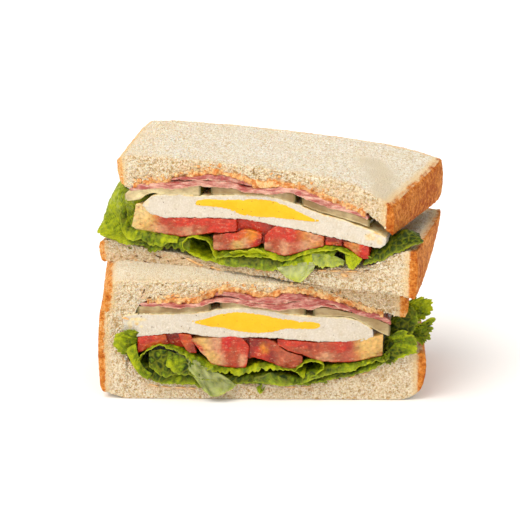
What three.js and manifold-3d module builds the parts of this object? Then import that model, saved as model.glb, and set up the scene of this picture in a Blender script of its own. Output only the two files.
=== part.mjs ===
// A sandwich of white pan bread with ham, pickles, fried egg, tomato and lettuce, cut in two.
// The halves lie stacked with their cut faces to the front (-Y), the upper one turned a little.
// Millimetres, +Z up, origin under the middle of the stack.
import * as THREE from "three";
import Module from "manifold-3d";

const wasm = await Module();
wasm.setup();

// ---- Driving dimensions ----
const HALF_DEPTH = 58; // from the cut face back to the crust: half of a slice 12 cm square
const FILLING_DEPTH = 45; // fillings stop short of the back crust
const LEAF_DEPTH = 43;
const YOLK_DEPTH = 26; // half of a yolk, cut through its middle
const LEAF_THICKNESS = 0.8;
const LOOSE_FIT = 0.35; // air round the yolk in its pocket
const UPPER_TURN = THREE.MathUtils.degToRad(-17); // the upper half's turn, seen from above
const LOWER_CUT_Y = -30; // where the lower half's cut face stands
const UPPER_CUT_MIDDLE = [-3.4, -25.9]; // x, y of the middle of the upper half's cut face

const COLOURS = {
  bread: 0xeedbb8,
  ham: 0xc97f70,
  hamEdge: 0xd69a86,
  pickle: 0xc0a066,
  white: 0xf3ead6,
  yolk: 0xfecb33,
  tomato: 0xd8654a,
  tomatoRed: 0xd4502f,
  lettuce: 0x93a02c,
  lettuceDark: 0x5f7020,
};

// ---- Small helpers ----

// A smooth height z(x) through [x, z] points, level past both ends.
function through(points) {
  const slope = points.map((_, i) => {
    const before = points[Math.max(i - 1, 0)];
    const after = points[Math.min(i + 1, points.length - 1)];
    return (after[1] - before[1]) / (after[0] - before[0]);
  });
  return (x) => {
    if (x <= points[0][0]) return points[0][1];
    const i = points.findIndex((p) => p[0] >= x);
    if (i < 0) return points[points.length - 1][1];
    const [x0, z0] = points[i - 1];
    const [x1, z1] = points[i];
    const span = x1 - x0;
    const t = (x - x0) / span;
    const s = t * t * (3 - 2 * t);
    const bend = span * t * (1 - t) * (slope[i - 1] * (1 - t) - slope[i] * t);
    return z0 + (z1 - z0) * s + bend;
  };
}

const mix = (a, b, t) => a + (b - a) * t;
const hump = (t) => 4 * t * (1 - t); // 0 at both ends, 1 half way

// A closed solid grown from one flat grid: both faces carry the same triangles, and walls of
// `rings` steps join them round the rim. at(u, v, w) gives a point, w from 0 below to 1 above.
function slab(columns, rows, rings, at) {
  const grid = new THREE.PlaneGeometry(1, 1, columns, rows);
  const flat = grid.attributes.position;
  const points = [];
  const place = (i, w) => {
    const p = at(flat.getX(i) + 0.5, flat.getY(i) + 0.5, w);
    return points.push(p.x, p.y, p.z) / 3 - 1;
  };
  const upper = Array.from({ length: flat.count }, (_, i) => place(i, 1));
  const lower = Array.from({ length: flat.count }, (_, i) => place(i, 0));
  const index = [];
  for (let t = 0; t < grid.index.count; t += 3) {
    const [a, b, c] = [0, 1, 2].map((k) => grid.index.getX(t + k));
    index.push(upper[a], upper[b], upper[c], lower[c], lower[b], lower[a]);
  }
  const cell = (i, j) => i + j * (columns + 1);
  const rim = [];
  for (let i = 0; i < columns; i++) rim.push(cell(i, rows));
  for (let j = rows; j > 0; j--) rim.push(cell(columns, j));
  for (let i = columns; i > 0; i--) rim.push(cell(i, 0));
  for (let j = 0; j < rows; j++) rim.push(cell(0, j));
  let below = rim.map((i) => lower[i]);
  for (let r = 1; r <= rings; r++) {
    const above = rim.map((i) => (r === rings ? upper[i] : place(i, r / rings)));
    rim.forEach((_, k) => {
      const next = (k + 1) % rim.length;
      index.push(below[k], below[next], above[next], below[k], above[next], above[k]);
    });
    below = above;
  }
  const made = new THREE.BufferGeometry();
  made.setAttribute("position", new THREE.Float32BufferAttribute(points, 3));
  return made.setIndex(index);
}

function solid(geometry) {
  const mesh = new wasm.Mesh({
    numProp: 3,
    vertProperties: geometry.attributes.position.array,
    triVerts: new Uint32Array(geometry.index.array),
  });
  return new wasm.Manifold(mesh);
}

function geometryOf(manifold) {
  const mesh = manifold.getMesh();
  const made = new THREE.BufferGeometry();
  made.setAttribute("position", new THREE.BufferAttribute(mesh.vertProperties, 3));
  return made.setIndex(new THREE.BufferAttribute(mesh.triVerts, 1));
}

function piece(name, geometry, colour, roughness = 0.6) {
  geometry.computeVertexNormals();
  const material = new THREE.MeshStandardMaterial({ color: colour, roughness, metalness: 0 });
  const mesh = new THREE.Mesh(geometry, material);
  mesh.name = name;
  return mesh;
}

// ---- Bread: a slice between two cut-face curves, widening to the back, its crust rounded ----
const CRUST_BULGE = 0.8;
const CRUST_DROP = 1.2; // how far a rim falls where the slice turns into its side

// left, right: where it ends, at the cut and at the back. lean, backLean: how far its sides draw in
// below, at the cut and at the back. rims: how much each side's top edge falls off. crown: how much
// higher its top is away from the cut. backRise: how much higher its right end stands at the back.
// sag: how far the underside of its right end hangs down between the cut and the back.
// backTop, backFoot: heights that its back edge reaches up or down to, where the two slices close
// on the fillings, backFoot from backFrom rightwards. stations: where its columns stand on the cut.
function breadSlice(slice) {
  const { low, high, left, right, lean = [0, 0], backLean = lean, rims = [1, 1] } = slice;
  const { crown = 0, backRise = 0, sag = 0, backTop = -Infinity, backFoot = Infinity } = slice;
  const { backFrom = -Infinity, stations = null } = slice;
  const zLow = through(low);
  const zHigh = through(high);
  const columns = stations ? stations.length - 1 : 22;
  return slab(columns, 5, 2, (step, v, w) => {
    const u = stations
      ? (stations[Math.round(step * columns)] - left[0]) / (right[0] - left[0])
      : step;
    const ends = [mix(...left, v), mix(...right, v)];
    const middle = (ends[0] + ends[1]) / 2;
    const corner = 1 - 0.03 * v ** 10; // rounded back corners
    const xFlat = middle + (mix(...ends, u) - middle) * corner;
    const bulge = CRUST_BULGE * hump(w);
    const [leftLean, rightLean] = lean.map((front, k) => mix(front, backLean[k], v ** 1.8));
    const drawnIn = step === 0 ? leftLean : step === 1 ? -rightLean : 0;
    const swell = step === 0 ? -bulge : step === 1 ? bulge : 0;
    const backwards = v === 1 ? bulge - 0.5 * rightLean * (1 - w) : 0;
    const onCut = mix(left[0], right[0], u); // the same place on the cut face
    const side = 2 * u - 1;
    const rim = Math.max(Math.abs(side) ** 18, v ** 18) * CRUST_DROP * rims[side < 0 ? 0 : 1];
    const rightEnd = Math.max(0, side) ** 4; // 1 at the right end, 0 over the left half
    let bottom = Math.max(0, zLow(onCut)) - sag * hump(v) * rightEnd ** 4;
    let top = zHigh(onCut) - rim + backRise * v * rightEnd + (v > 0 ? crown : 0);
    if (v === 1) {
      if (onCut >= backFrom) bottom = Math.min(bottom, backFoot);
      top = Math.max(top, backTop);
    }
    const y = v * HALF_DEPTH * (1 - 0.03 * Math.abs(side) ** 8);
    return new THREE.Vector3(
      xFlat + drawnIn * (1 - w) + swell,
      y + backwards,
      mix(bottom, top, w),
    );
  });
}

// ---- Fillings: a layer between two cut-face curves, its plan rounding off to the back ----
const BACK_ROUNDING = 0.9;

function filling({ low, high, columns, rows = 3, rings = 1, depth = FILLING_DEPTH }) {
  const zLow = through(low);
  const zHigh = through(high);
  const [from, to] = [low[0][0], low[low.length - 1][0]];
  return slab(columns, rows, rings, (u, v, w) => {
    const narrowing = Math.sqrt(1 - (v * BACK_ROUNDING) ** 4);
    const x = mix(from, to, 0.5) + (u - 0.5) * (to - from) * narrowing;
    const side = u === 0 ? -1 : u === 1 ? 1 : 0;
    const y = v * depth * (1 - 0.18 * (2 * u - 1) ** 4);
    return new THREE.Vector3(
      x + side * (rings > 1 ? 0.9 * hump(w) : 0),
      y,
      mix(zLow(x), zHigh(x), w),
    );
  });
}

// The egg: the yolk runs through the white in a pocket that opens at the cut.
function friedEgg(white, yolk) {
  const [from, to] = [yolk.low[0][0], yolk.low[yolk.low.length - 1][0]];
  const zLow = through(yolk.low);
  const zHigh = through(yolk.high);
  const shape = (grow) =>
    slab(12, 4, 1, (u, v, w) => {
      const narrowing = Math.sqrt(1 - (v * 0.93) ** 2);
      const reach = ((to - from) / 2 + grow) * narrowing;
      const x = (from + to) / 2 + (2 * u - 1) * reach;
      const thinning = 0.25 + 0.75 * narrowing; // the yolk thins as it rounds off
      const level = (zLow(x) + zHigh(x)) / 2;
      const half = ((zHigh(x) - zLow(x)) / 2) * thinning + grow;
      const y = v === 0 ? -2 * grow : v * (YOLK_DEPTH + grow);
      return new THREE.Vector3(x, y, level + (2 * w - 1) * half);
    });
  const pocket = solid(shape(LOOSE_FIT));
  const whole = solid(filling({ ...white, columns: 18, rows: 4, rings: 2 }));
  return { white: geometryOf(whole.subtract(pocket)), yolk: shape(0) };
}

// ---- Lettuce: a leaf swept back from its line on the cut face, or round a corner in plan ----

// path: [x, z] points along the cut face. wave: ripple height. frill: how strongly the tips curl.
function leafFromCut(leaf) {
  const { path, depth = LEAF_DEPTH, front = -1, wave = 0.25, frill = 0, columns = 22 } = leaf;
  const line = new THREE.SplineCurve(path.map(([x, z]) => new THREE.Vector2(x, z)));
  return slab(columns, 5, 1, (u, v, w) => {
    const at = line.getPointAt(u);
    const along = line.getTangentAt(u);
    const tip = Math.abs(2 * u - 1) ** 6;
    const ripple = wave * Math.sin(u * 26 + v * 5) + frill * tip * Math.sin(v * 15 + 0.6);
    const offset = ripple + (w - 0.5) * LEAF_THICKNESS;
    return new THREE.Vector3(
      at.x - along.y * offset,
      front + v * depth * (1 - 0.2 * (2 * u - 1) ** 2),
      at.y + along.x * offset,
    );
  });
}

// A leaf that stands round the left end: plan gives [x, y] from the cut face to the back, foot
// and head its lower and upper edges as heights along that line. taper: how far it narrows to the
// head, towards its inner edge.
function leafRoundEnd({ plan, foot, head, ribs, taper }) {
  const line = new THREE.SplineCurve(plan.map(([x, y]) => new THREE.Vector2(x, y)));
  const zFoot = through(foot);
  const zHead = through(head);
  return slab(16, 9, 1, (u, v, w) => {
    const at = line.getPointAt(u);
    const along = line.getTangentAt(u);
    const rib = ribs * Math.sin(v * 20 + u * 9);
    const belly = 1.2 * hump(v); // the leaf bows outwards half way up
    const offset = -rib - belly + (0.5 - w) * LEAF_THICKNESS;
    const x = at.x - along.y * offset;
    return new THREE.Vector3(
      mix(x, plan[0][0], taper * v ** 1.5),
      at.y + along.x * offset,
      mix(zFoot(u), zHead(u), v),
    );
  });
}

// ---- The two halves, each in its own frame: x along the cut, y back from it ----

const LOWER = {
  // its left side stands up beside the fillings, up to the top slice
  breadBottom: {
    low: [[-59.4, 4], [-57.5, 2.2], [-54.5, 1.2], [-50, 0], [49, 0], [52, 0.7], [56, 2.8], [59.3, 8]],
    high: [
      [-59.4, 32.7], [-51.4, 32.7], [-50.4, 30], [-50, 22], [-49.4, 17], [-47, 11.4], [-43.4, 8.2],
      [-38, 5.9], [-30, 5.5], [-22, 5.2], [-14, 5.3], [0, 5.7], [14, 5.4], [20, 6.1], [26, 7.6],
      [33, 9.2], [38, 10.8], [43, 13], [46.7, 14.9], [52, 18], [59.3, 19.4],
    ],
    left: [-59.4, -60.2],
    right: [59.3, 60],
    lean: [-0.3, 0],
    rims: [0, 1],
    backTop: 20,
    stations: [
      -59.4, -57.4, -54.5, -51.4, -50.4, -49.9, -49.2, -47, -43.4, -38, -30, -22, -14, -4, 6, 14, 20,
      26, 33, 38, 43, 46.7, 52, 56, 59.3,
    ],
  },
  breadTop: {
    low: [
      [-56, 33.1], [-52, 33.2], [-50, 34.4], [-46.9, 36.2], [-45.4, 37.6], [-43.9, 38.4], [-40, 38.6],
      [-30, 38.7], [-24.5, 39], [-21.5, 40.6], [-18, 42], [-12, 43], [-6.4, 42.4], [-0.5, 41.2],
      [4, 41.6], [8.2, 42.9], [13.6, 43], [18, 42], [24.5, 40.6], [30, 39], [35.5, 36.8], [41, 35.2],
      [46.5, 33.4], [50, 32.4], [54, 32.4],
    ],
    high: [
      [-56, 45.4], [-50, 46], [-37, 45.8], [-26, 46], [-15, 45.8], [0, 45.2], [10, 44.9], [25, 44.4],
      [35, 44], [43, 43.2], [50, 41.6], [54, 40.4],
    ],
    left: [-56, -58.5],
    right: [52.6, 57],
    lean: [-2.6, 0.6],
    backFoot: 28,
    backFrom: -47,
    stations: [
      -56, -51.8, -49, -46.9, -45.2, -43.4, -38, -31, -24.5, -21.5, -18, -12, -6.4, -0.5, 4, 8.2, 13.6,
      18, 24.5, 30, 35.5, 41, 46.5, 49.8, 52.6,
    ],
  },
  ham: [
    {
      low: [
        [-17.5, 40.1], [-12, 40.6], [-6.4, 39.8], [-0.2, 38.5], [4.5, 38.4], [10, 39.2], [17.3, 38.9],
        [24.5, 38.1], [28.2, 36.8], [33.7, 35], [39, 32.9], [46.8, 29.4],
      ],
      high: [
        [-17.5, 41], [-12, 42], [-6.4, 41.3], [-0.2, 40.1], [4.5, 40.3], [8.2, 41.8], [13.6, 41.9],
        [17.3, 40.9], [24.5, 39.5], [30, 37.7], [35.5, 35.6], [41, 34], [46.8, 30.9],
      ],
    },
    {
      low: [
        [-44.4, 36.2], [-37.5, 36.3], [-23, 36.9], [-17.3, 38.9], [-12, 38.4], [-3.8, 37.1], [4.5, 35.9],
        [10, 36.3], [17.3, 36.4], [22.7, 36.8], [28.2, 35.4], [32.5, 34.2],
      ],
      high: [
        [-44.4, 37.2], [-37.5, 37.6], [-24, 37.9], [-19, 39], [-12, 40], [-6.4, 39.2], [-0.2, 37.9],
        [4.5, 37.8], [10, 38.6], [17.3, 38.3], [24.5, 37.5], [28.2, 36.2], [32.5, 34.9],
      ],
    },
  ],
  pickles: [
    {
      low: [[-45.5, 33], [-39.3, 33.5], [-30, 33.7], [-24.7, 33.9], [-19, 35]],
      high: [[-45.5, 35.6], [-37.5, 35.8], [-30, 36], [-19, 36.8]],
    },
    {
      low: [[-15.3, 35.6], [-8.2, 36], [-0.9, 35.4], [4.5, 34.5], [10, 33.7], [15.6, 33.3]],
      high: [[-15.3, 38.1], [-12, 37.9], [-3.8, 36.7], [4.5, 35.5], [10, 35.8], [15.6, 35.7]],
    },
    {
      low: [[18.6, 33], [22.8, 32.8], [30, 32.9], [34, 32], [39.5, 28.8], [46.5, 25.2]],
      high: [[18.6, 35.4], [22.7, 35.4], [28.2, 34.4], [34, 33.2], [39, 32.2], [46.5, 28.9]],
    },
  ],
  white: {
    low: [
      [-48.5, 25.6], [-47, 24.8], [-41.3, 25], [-28.4, 26], [-19.3, 24.6], [-2.8, 24.4], [8.2, 23.9],
      [21, 23], [33.8, 23.6], [38.4, 24.9], [39.8, 26],
    ],
    high: [
      [-48.5, 31.2], [-46.7, 32], [-39.3, 33], [-24.7, 33.4], [-15.5, 35], [-8.2, 35.6], [-0.9, 35],
      [10, 33.2], [22.8, 32.2], [30, 32.1], [35, 30.8], [38.4, 28.9], [39.8, 27.6],
    ],
  },
  yolk: {
    low: [
      [-26.5, 29.8], [-21, 28.7], [-15.6, 27.7], [-10, 27], [-6.4, 26.5], [-0.9, 26.3], [2.7, 26.7],
      [8.2, 27.7], [13.7, 28.2], [19, 28], [21.3, 28.8],
    ],
    high: [
      [-26.5, 30.2], [-21, 31.2], [-15.5, 32.5], [-11.9, 33.5], [-6.4, 34.1], [-0.9, 33.7], [2.7, 32.8],
      [8.2, 31.7], [13.7, 31.2], [19, 30.5], [21.3, 29.6],
    ],
  },
  tomatoes: [
    {
      low: [[5.4, 21.6], [8.2, 20.2], [13.7, 18.1], [21, 15.6], [28.4, 15], [35.7, 15.8], [44, 17.6]],
      high: [[5.4, 23.3], [13.7, 22.6], [21, 22.3], [32, 22.8], [37.4, 24], [44, 25.4]],
      colour: "tomato",
    },
    {
      low: [[-4.6, 17.2], [1.3, 15.5], [6, 13.4], [10.8, 12], [14.6, 14.8]],
      high: [[-4.6, 23.7], [4.2, 22.6], [7.5, 19.3], [14.6, 16.6]],
      colour: "tomatoRed",
    },
    {
      low: [[-24, 18.3], [-19.3, 15.4], [-12, 12.8], [-5.4, 12.8]],
      high: [[-24, 23.3], [-17.4, 23.8], [-8.3, 23.8], [-5.4, 20]],
      colour: "tomato",
    },
    {
      low: [[-30.4, 20.6], [-27.5, 18.3], [-24.8, 18.8]],
      high: [[-30.4, 25.2], [-24.8, 24.8]],
      colour: "tomatoRed",
      depth: 30,
    },
    {
      low: [[-45.7, 18.2], [-41.4, 20], [-35, 21.8]],
      high: [[-45.7, 24], [-41.3, 24.4], [-35, 24.9]],
      colour: "tomatoRed",
    },
  ],
  leaves: [
    // the upper leaf, curled under at its right end
    {
      path: [
        [-45.2, 14.8], [-42, 17.2], [-38, 18.6], [-33.5, 18.2], [-28, 15.4], [-21, 12.2], [-13, 10.6],
        [-5, 10.4], [3, 10.8], [9, 10], [13, 8.9], [16.6, 8.6], [20.4, 9.9],
        [21.6, 12], [20, 13.6], [16.8, 13.2],
      ],
      colour: "lettuce",
    },
    // the lower leaf
    {
      path: [
        [-48.7, 22], [-48.2, 17.8], [-46.3, 13.2], [-42.5, 10.2], [-38, 8.4], [-31, 7.2], [-24, 6.8],
        [-14, 7], [-5, 7.6], [4, 7.6], [12, 7], [18, 7.1], [24, 8.6], [30, 10.2], [36, 12.2],
        [41, 14.4], [45, 16.4],
      ],
      colour: "lettuce",
    },
    // two sheets that spill out at the right end
    {
      path: [[46.2, 17.4], [49, 18.2], [53, 20.6], [57.5, 22.4], [61.5, 25], [63.4, 28.4]],
      colour: "lettuceDark",
      frill: 0.9,
      wave: 0.3,
      columns: 12,
      depth: 30,
    },
    {
      path: [[45.6, 22], [48.4, 22.6], [52, 24.6], [56, 27.4], [59.6, 31.2], [61.4, 35.6]],
      colour: "lettuce",
      frill: 1.2,
      wave: 0.4,
      columns: 12,
      depth: 22,
    },
  ],
};

const UPPER = {
  breadBottom: {
    low: [
      [-60, 46.4], [-54, 46.6], [-44, 47], [-38, 47.3], [-28, 47.6], [-20, 47.6], [-12, 47.3], [-1, 46.9],
      [6.5, 46.5], [18, 45.7], [29, 45.3], [37, 45.1], [48, 45.2], [54, 44.8], [61, 43.6],
    ],
    high: [
      [-60, 55], [-55.8, 55.7], [-48, 53.7], [-42, 53.1], [-36, 52.5], [-28.4, 51.7], [-20.6, 50.6],
      [-13.6, 49.7], [-5, 49.3], [6.3, 49.1], [17.7, 49.8], [25.3, 51.1], [32.8, 52.6], [40, 53.2],
      [44.7, 55], [49.4, 58], [55, 61], [61, 62.6],
    ],
    left: [-60, -60.5],
    right: [61, 57.5],
    lean: [1.2, 0.3],
    backLean: [1, 5.5],
    sag: -1,
    backTop: 61,
  },
  breadTop: {
    low: [
      [-52, 75.8], [-49.6, 76.2], [-45.6, 78.1], [-39.7, 79.7], [-34, 80.9], [-28, 82.2], [-20.3, 84.1],
      [-16.5, 85], [-11, 85.1], [-5, 83.8], [-1.3, 82.6], [3.3, 82], [8.2, 82.6], [12.7, 82.3],
      [17.6, 82.2], [21.3, 81.2], [25, 80.1], [30.7, 78.3], [36.2, 76.6], [40, 75.2], [43.7, 73.4],
      [46.6, 71.4], [49, 69], [52.5, 66.4],
    ],
    high: [
      [-52, 87.6], [-40, 88.2], [-20, 88.2], [-1, 87.7], [17.5, 86.7], [32, 85], [43.5, 82], [50, 79],
      [52.5, 78],
    ],
    left: [-52.4, -62],
    right: [52, 57.5],
    lean: [1.6, 0],
    backRise: 4,
    backFoot: 68,
  },
  ham: [
    {
      low: [[-32, 79.9], [-28, 80.7], [-20.3, 82], [-10.8, 82.6], [-5, 81.3], [-0.5, 80.6]],
      high: [
        [-32, 80.4], [-28, 81.4], [-20.3, 83.2], [-16.5, 84.1], [-10.8, 84.2], [-5, 82.7],
        [-0.5, 81.4],
      ],
    },
    {
      low: [
        [-48, 75], [-41.7, 76.7], [-35.8, 77.7], [-28, 79], [-20.3, 80.1], [-10.8, 79.9], [-5, 79],
        [2.5, 79.1], [10, 79.6], [13.8, 79.8], [17.6, 78.9], [21.3, 77.8], [28.8, 75.8], [36.2, 74.1],
        [42.9, 71.9],
      ],
      high: [
        [-48, 75.6], [-41.7, 78], [-35.8, 79], [-28, 80.2], [-20.3, 81.5], [-10.8, 82], [-5, 80.8],
        [-1, 80.1], [3.3, 80.7], [8.2, 81.5], [12.7, 81.3], [17.6, 81.1], [22, 80], [25, 79],
        [30.7, 77.2],
        [36.2, 75.4], [42.9, 72.9],
      ],
    },
  ],
  pickles: [
    {
      low: [[-50, 71.4], [-43.7, 72.6], [-39.8, 74.4], [-35.9, 75.2], [-30, 75.4], [-20.2, 75.6]],
      high: [[-50, 73], [-47, 74.4], [-41.7, 76.1], [-35.8, 77.2], [-28, 78.5], [-20.2, 79.4]],
    },
    {
      low: [[-16, 76.2], [-7, 77.2], [0.6, 77.6], [8.2, 77.5], [13.8, 76.2], [15.8, 75.8]],
      high: [[-16, 78.9], [-8.9, 78.7], [-5, 78.5], [2.5, 78.6], [10, 79.1], [15.8, 78.6]],
    },
    {
      low: [[18.4, 75.4], [25, 73.6], [32.6, 72.1], [40, 70.5], [43.5, 69.4]],
      high: [[18.4, 78], [21.3, 77.2], [28.8, 75.3], [36.2, 73.6], [43.5, 71.2]],
    },
  ],
  white: {
    low: [
      [-42.6, 68.8], [-40, 66.9], [-34, 66.1], [-28, 66.5], [-16.6, 67.2], [-8.9, 67.8], [-3, 67.9],
      [2.5, 67.4], [8.2, 66.8], [14, 66.2], [19.5, 65.6], [25.2, 64.7], [32.6, 63.9], [38.2, 63],
      [46.8, 61.9], [49.3, 63.2],
    ],
    high: [
      [-42.6, 71], [-39.8, 73], [-36, 74], [-28, 74.9], [-20.4, 75.1], [-7, 76.6], [0.6, 77], [8.2, 76.9],
      [13.8, 75.7], [19.5, 74.2], [25, 72.3], [32.6, 70.9], [40, 69], [46, 67.2], [49.3, 65.8],
    ],
  },
  yolk: {
    low: [
      [-22, 72], [-16.6, 71.7], [-10.8, 71.4], [-7, 70.4], [-3, 69.6], [2.5, 69.3], [10, 69.2],
      [17.6, 69], [26, 69.4],
    ],
    high: [
      [-22, 72.6], [-18.5, 73.6], [-12.7, 74.6], [-1.3, 75.8], [3.3, 75.9], [8.2, 75.4], [14, 73.9],
      [19.5, 72], [26, 70],
    ],
  },
  tomatoes: [
    {
      low: [[-47, 60.8], [-42, 60], [-36, 59.4], [-30, 59.2], [-24, 59.8], [-16.6, 61.6], [-6.5, 63.2]],
      high: [[-47, 66], [-42, 66.3], [-38, 65.9], [-34, 65.5], [-28, 65.9], [-17, 66.6], [-6.5, 67.3]],
      colour: "tomato",
    },
    {
      low: [[-15.5, 55], [-7, 56.1], [0.6, 57.9], [3, 59.4]],
      high: [[-15.5, 60.4], [-10, 61.6], [-6, 62.4], [-3.5, 63.6], [3, 62.6]],
      colour: "tomatoRed",
    },
    {
      low: [[4.2, 57], [12, 55.8], [21.5, 59], [26.6, 60.6]],
      high: [[4.2, 62], [8.2, 66], [16.5, 65.2], [26.6, 63.8]],
      colour: "tomato",
    },
    {
      low: [[27.4, 61.1], [33.2, 61.3]],
      high: [[27.4, 63.8], [33.2, 63.2]],
      colour: "tomatoRed",
      depth: 30,
    },
    {
      low: [[34, 61.3], [36.4, 60.2], [40.2, 57.8], [43.3, 57.2]],
      high: [[34, 62.9], [38.2, 62.3], [43.3, 61.6]],
      colour: "tomatoRed",
    },
  ],
  leaves: [
    // the leaf round the end of the long tomato slice and under it, rolled down at its right end
    {
      path: [
        [-48.9, 70.3], [-49.8, 66], [-49.2, 61.8], [-46.6, 59.2], [-42, 58.6], [-36, 57.8],
        [-30.5, 57.4], [-27.6, 56.2], [-26.4, 54], [-23.4, 52.6], [-18.6, 52.1],
      ],
      colour: "lettuce",
      columns: 20,
      front: 0.6,
    },
    // the middle leaf
    {
      path: [
        [-24.6, 58], [-21, 56.9], [-17.6, 54.6], [-13.6, 53.1], [-7, 53.6], [0, 54], [7, 53.6],
        [13.6, 54], [18.6, 55.6], [24, 57.8], [29.4, 59.2], [34, 58.8], [38.6, 56.4], [42, 55.4],
      ],
      colour: "lettuce",
      columns: 20,
    },
    // the lowest leaf, on the bottom slice
    {
      path: [
        [-16, 50.9], [-9, 51], [-1, 51.2], [7, 51], [14, 51.6], [20, 53], [26, 54.9], [32, 56], [37, 55],
      ],
      colour: "lettuce",
      columns: 16,
    },
    // the dark sheet that spills out at the right end
    {
      path: [[44.6, 57.4], [48, 60.4], [52, 62.8], [55.5, 63.9], [58.5, 64.2]],
      colour: "lettuceDark",
      frill: 0.5,
      wave: 0.2,
      columns: 10,
      depth: 18,
    },
  ],
  endLeaf: {
    plan: [[-47.6, -1.6], [-52, -2], [-56.5, -1.4], [-60, 1.5], [-61, 8], [-60, 20]],
    foot: [[0, 54.2], [0.2, 56], [0.4, 57], [1, 57.4]],
    head: [[0, 71], [0.3, 75.2], [1, 75.4]],
    ribs: 0.35,
    taper: 0.6,
  },
};

function halfSandwich(name, half) {
  const group = new THREE.Group();
  const add = (part, geometry, colour, roughness) =>
    group.add(piece(`${name}_${part}`, geometry, COLOURS[colour], roughness));
  add("bread_bottom", breadSlice(half.breadBottom), "bread", 0.9);
  add("bread_top", breadSlice(half.breadTop), "bread", 0.9);
  half.ham.forEach((layer, i) =>
    add(`ham_${i + 1}`, filling({ ...layer, columns: 16 }), i ? "hamEdge" : "ham"),
  );
  half.pickles.forEach((layer, i) =>
    add(`pickle_${i + 1}`, filling({ ...layer, columns: 6 }), "pickle", 0.4),
  );
  const egg = friedEgg(half.white, half.yolk);
  add("egg_white", egg.white, "white", 0.5);
  add("egg_yolk", egg.yolk, "yolk", 0.5);
  half.tomatoes.forEach(({ colour, ...layer }, i) =>
    add(`tomato_${i + 1}`, filling({ ...layer, columns: i ? 5 : 9 }), colour, 0.3),
  );
  half.leaves.forEach(({ colour, ...leaf }, i) =>
    add(`lettuce_${i + 1}`, leafFromCut(leaf), colour, 0.5),
  );
  if (half.endLeaf) add("lettuce_end", leafRoundEnd(half.endLeaf), "lettuce", 0.5);
  return group;
}

const lower = halfSandwich("lower", LOWER);
lower.position.set(0, LOWER_CUT_Y, 0);
const upper = halfSandwich("upper", UPPER);
upper.position.set(...UPPER_CUT_MIDDLE, 0);
upper.rotation.z = UPPER_TURN;

const sandwich = new THREE.Group();
sandwich.add(lower, upper);
sandwich.updateMatrixWorld(true);
const middle = new THREE.Box3().setFromObject(sandwich, true).getCenter(new THREE.Vector3());
sandwich.position.set(-middle.x, -middle.y, 0);

export default sandwich;
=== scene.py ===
"""A pan-bread sandwich with ham, pickles, fried egg, tomato and lettuce, cut in two and stacked.

Profiles are in millimetres in each half's own frame: x along the cut, y back from it, z up.
"""

import math
import random

import bmesh
import bpy
import numpy as np
from mathutils import Matrix, Vector, noise


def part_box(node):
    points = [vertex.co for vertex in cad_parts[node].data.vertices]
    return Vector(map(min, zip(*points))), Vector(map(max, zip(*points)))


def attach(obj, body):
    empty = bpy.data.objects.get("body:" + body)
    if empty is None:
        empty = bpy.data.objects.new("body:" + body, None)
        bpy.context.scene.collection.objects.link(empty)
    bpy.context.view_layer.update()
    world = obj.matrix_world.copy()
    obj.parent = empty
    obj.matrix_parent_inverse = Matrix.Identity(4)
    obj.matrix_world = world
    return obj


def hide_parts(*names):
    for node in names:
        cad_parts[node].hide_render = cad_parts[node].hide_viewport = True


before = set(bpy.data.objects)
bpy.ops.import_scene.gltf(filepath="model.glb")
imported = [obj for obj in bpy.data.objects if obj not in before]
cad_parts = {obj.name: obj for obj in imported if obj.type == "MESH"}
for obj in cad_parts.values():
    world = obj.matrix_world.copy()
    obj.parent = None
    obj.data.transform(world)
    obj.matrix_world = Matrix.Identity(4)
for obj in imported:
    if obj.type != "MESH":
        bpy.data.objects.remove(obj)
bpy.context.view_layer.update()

bl_info = {
    "name": "Cut Sandwich",
    "version": (1, 0, 0),
    "blender": (4, 5, 0),
    "location": "3D View > Sidebar > Sandwich",
    "description": "Bread, fillings and light for a sandwich that is cut in two and stacked",
    "category": "Object",
}

MM = 0.001
FAR = 1e3  # a height or place past the whole sandwich

# ---- Where the halves lie ----

YOLK_LEFT = -26.5  # the lower yolk's left tip, which shows where the lower half's frame is
UPPER_OFFSET = (-3.4, 4.1)  # the middle of the upper cut from the lower one's
UPPER_TURN = math.radians(-17)

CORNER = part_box("lower_egg_yolk")[0] / MM
ORIGIN = {
    "lower": np.array([CORNER.x - YOLK_LEFT, CORNER.y, 0.0]),
    "upper": np.array([CORNER.x - YOLK_LEFT + UPPER_OFFSET[0], CORNER.y + UPPER_OFFSET[1], 0.0]),
}
TURN = {"lower": 0.0, "upper": UPPER_TURN}


def in_frame(half, points):
    """Points of a half's own frame, in millimetres, as points of the shared frame in metres."""
    c, s = math.cos(TURN[half]), math.sin(TURN[half])
    x, y, z = points.T
    return (np.stack([c * x - s * y, s * x + c * y, z], 1) + ORIGIN[half]) * MM


# ---- Profiles: heights along the cut face ----
# low and high are lines of (x, z) along the cut. A slice also has, for its left and right side: lean
# and back_lean (how far the underside draws in), round (its lower corners), rim (share of the top's
# fall) and bake (how brown the crust is, with painted light and shade in it: paler on the
# lit left, darker on the side turned from the key light). left and right are a side's x at the cut and
# at the back; back_top, back_foot and back_from say how high and low the back crust reaches, and from
# which x; crown, sag and back_rise swell it behind the cut. A tomato has tones along its upper and
# lower edge, and spots of another tone; slant tilts its ends.

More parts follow.
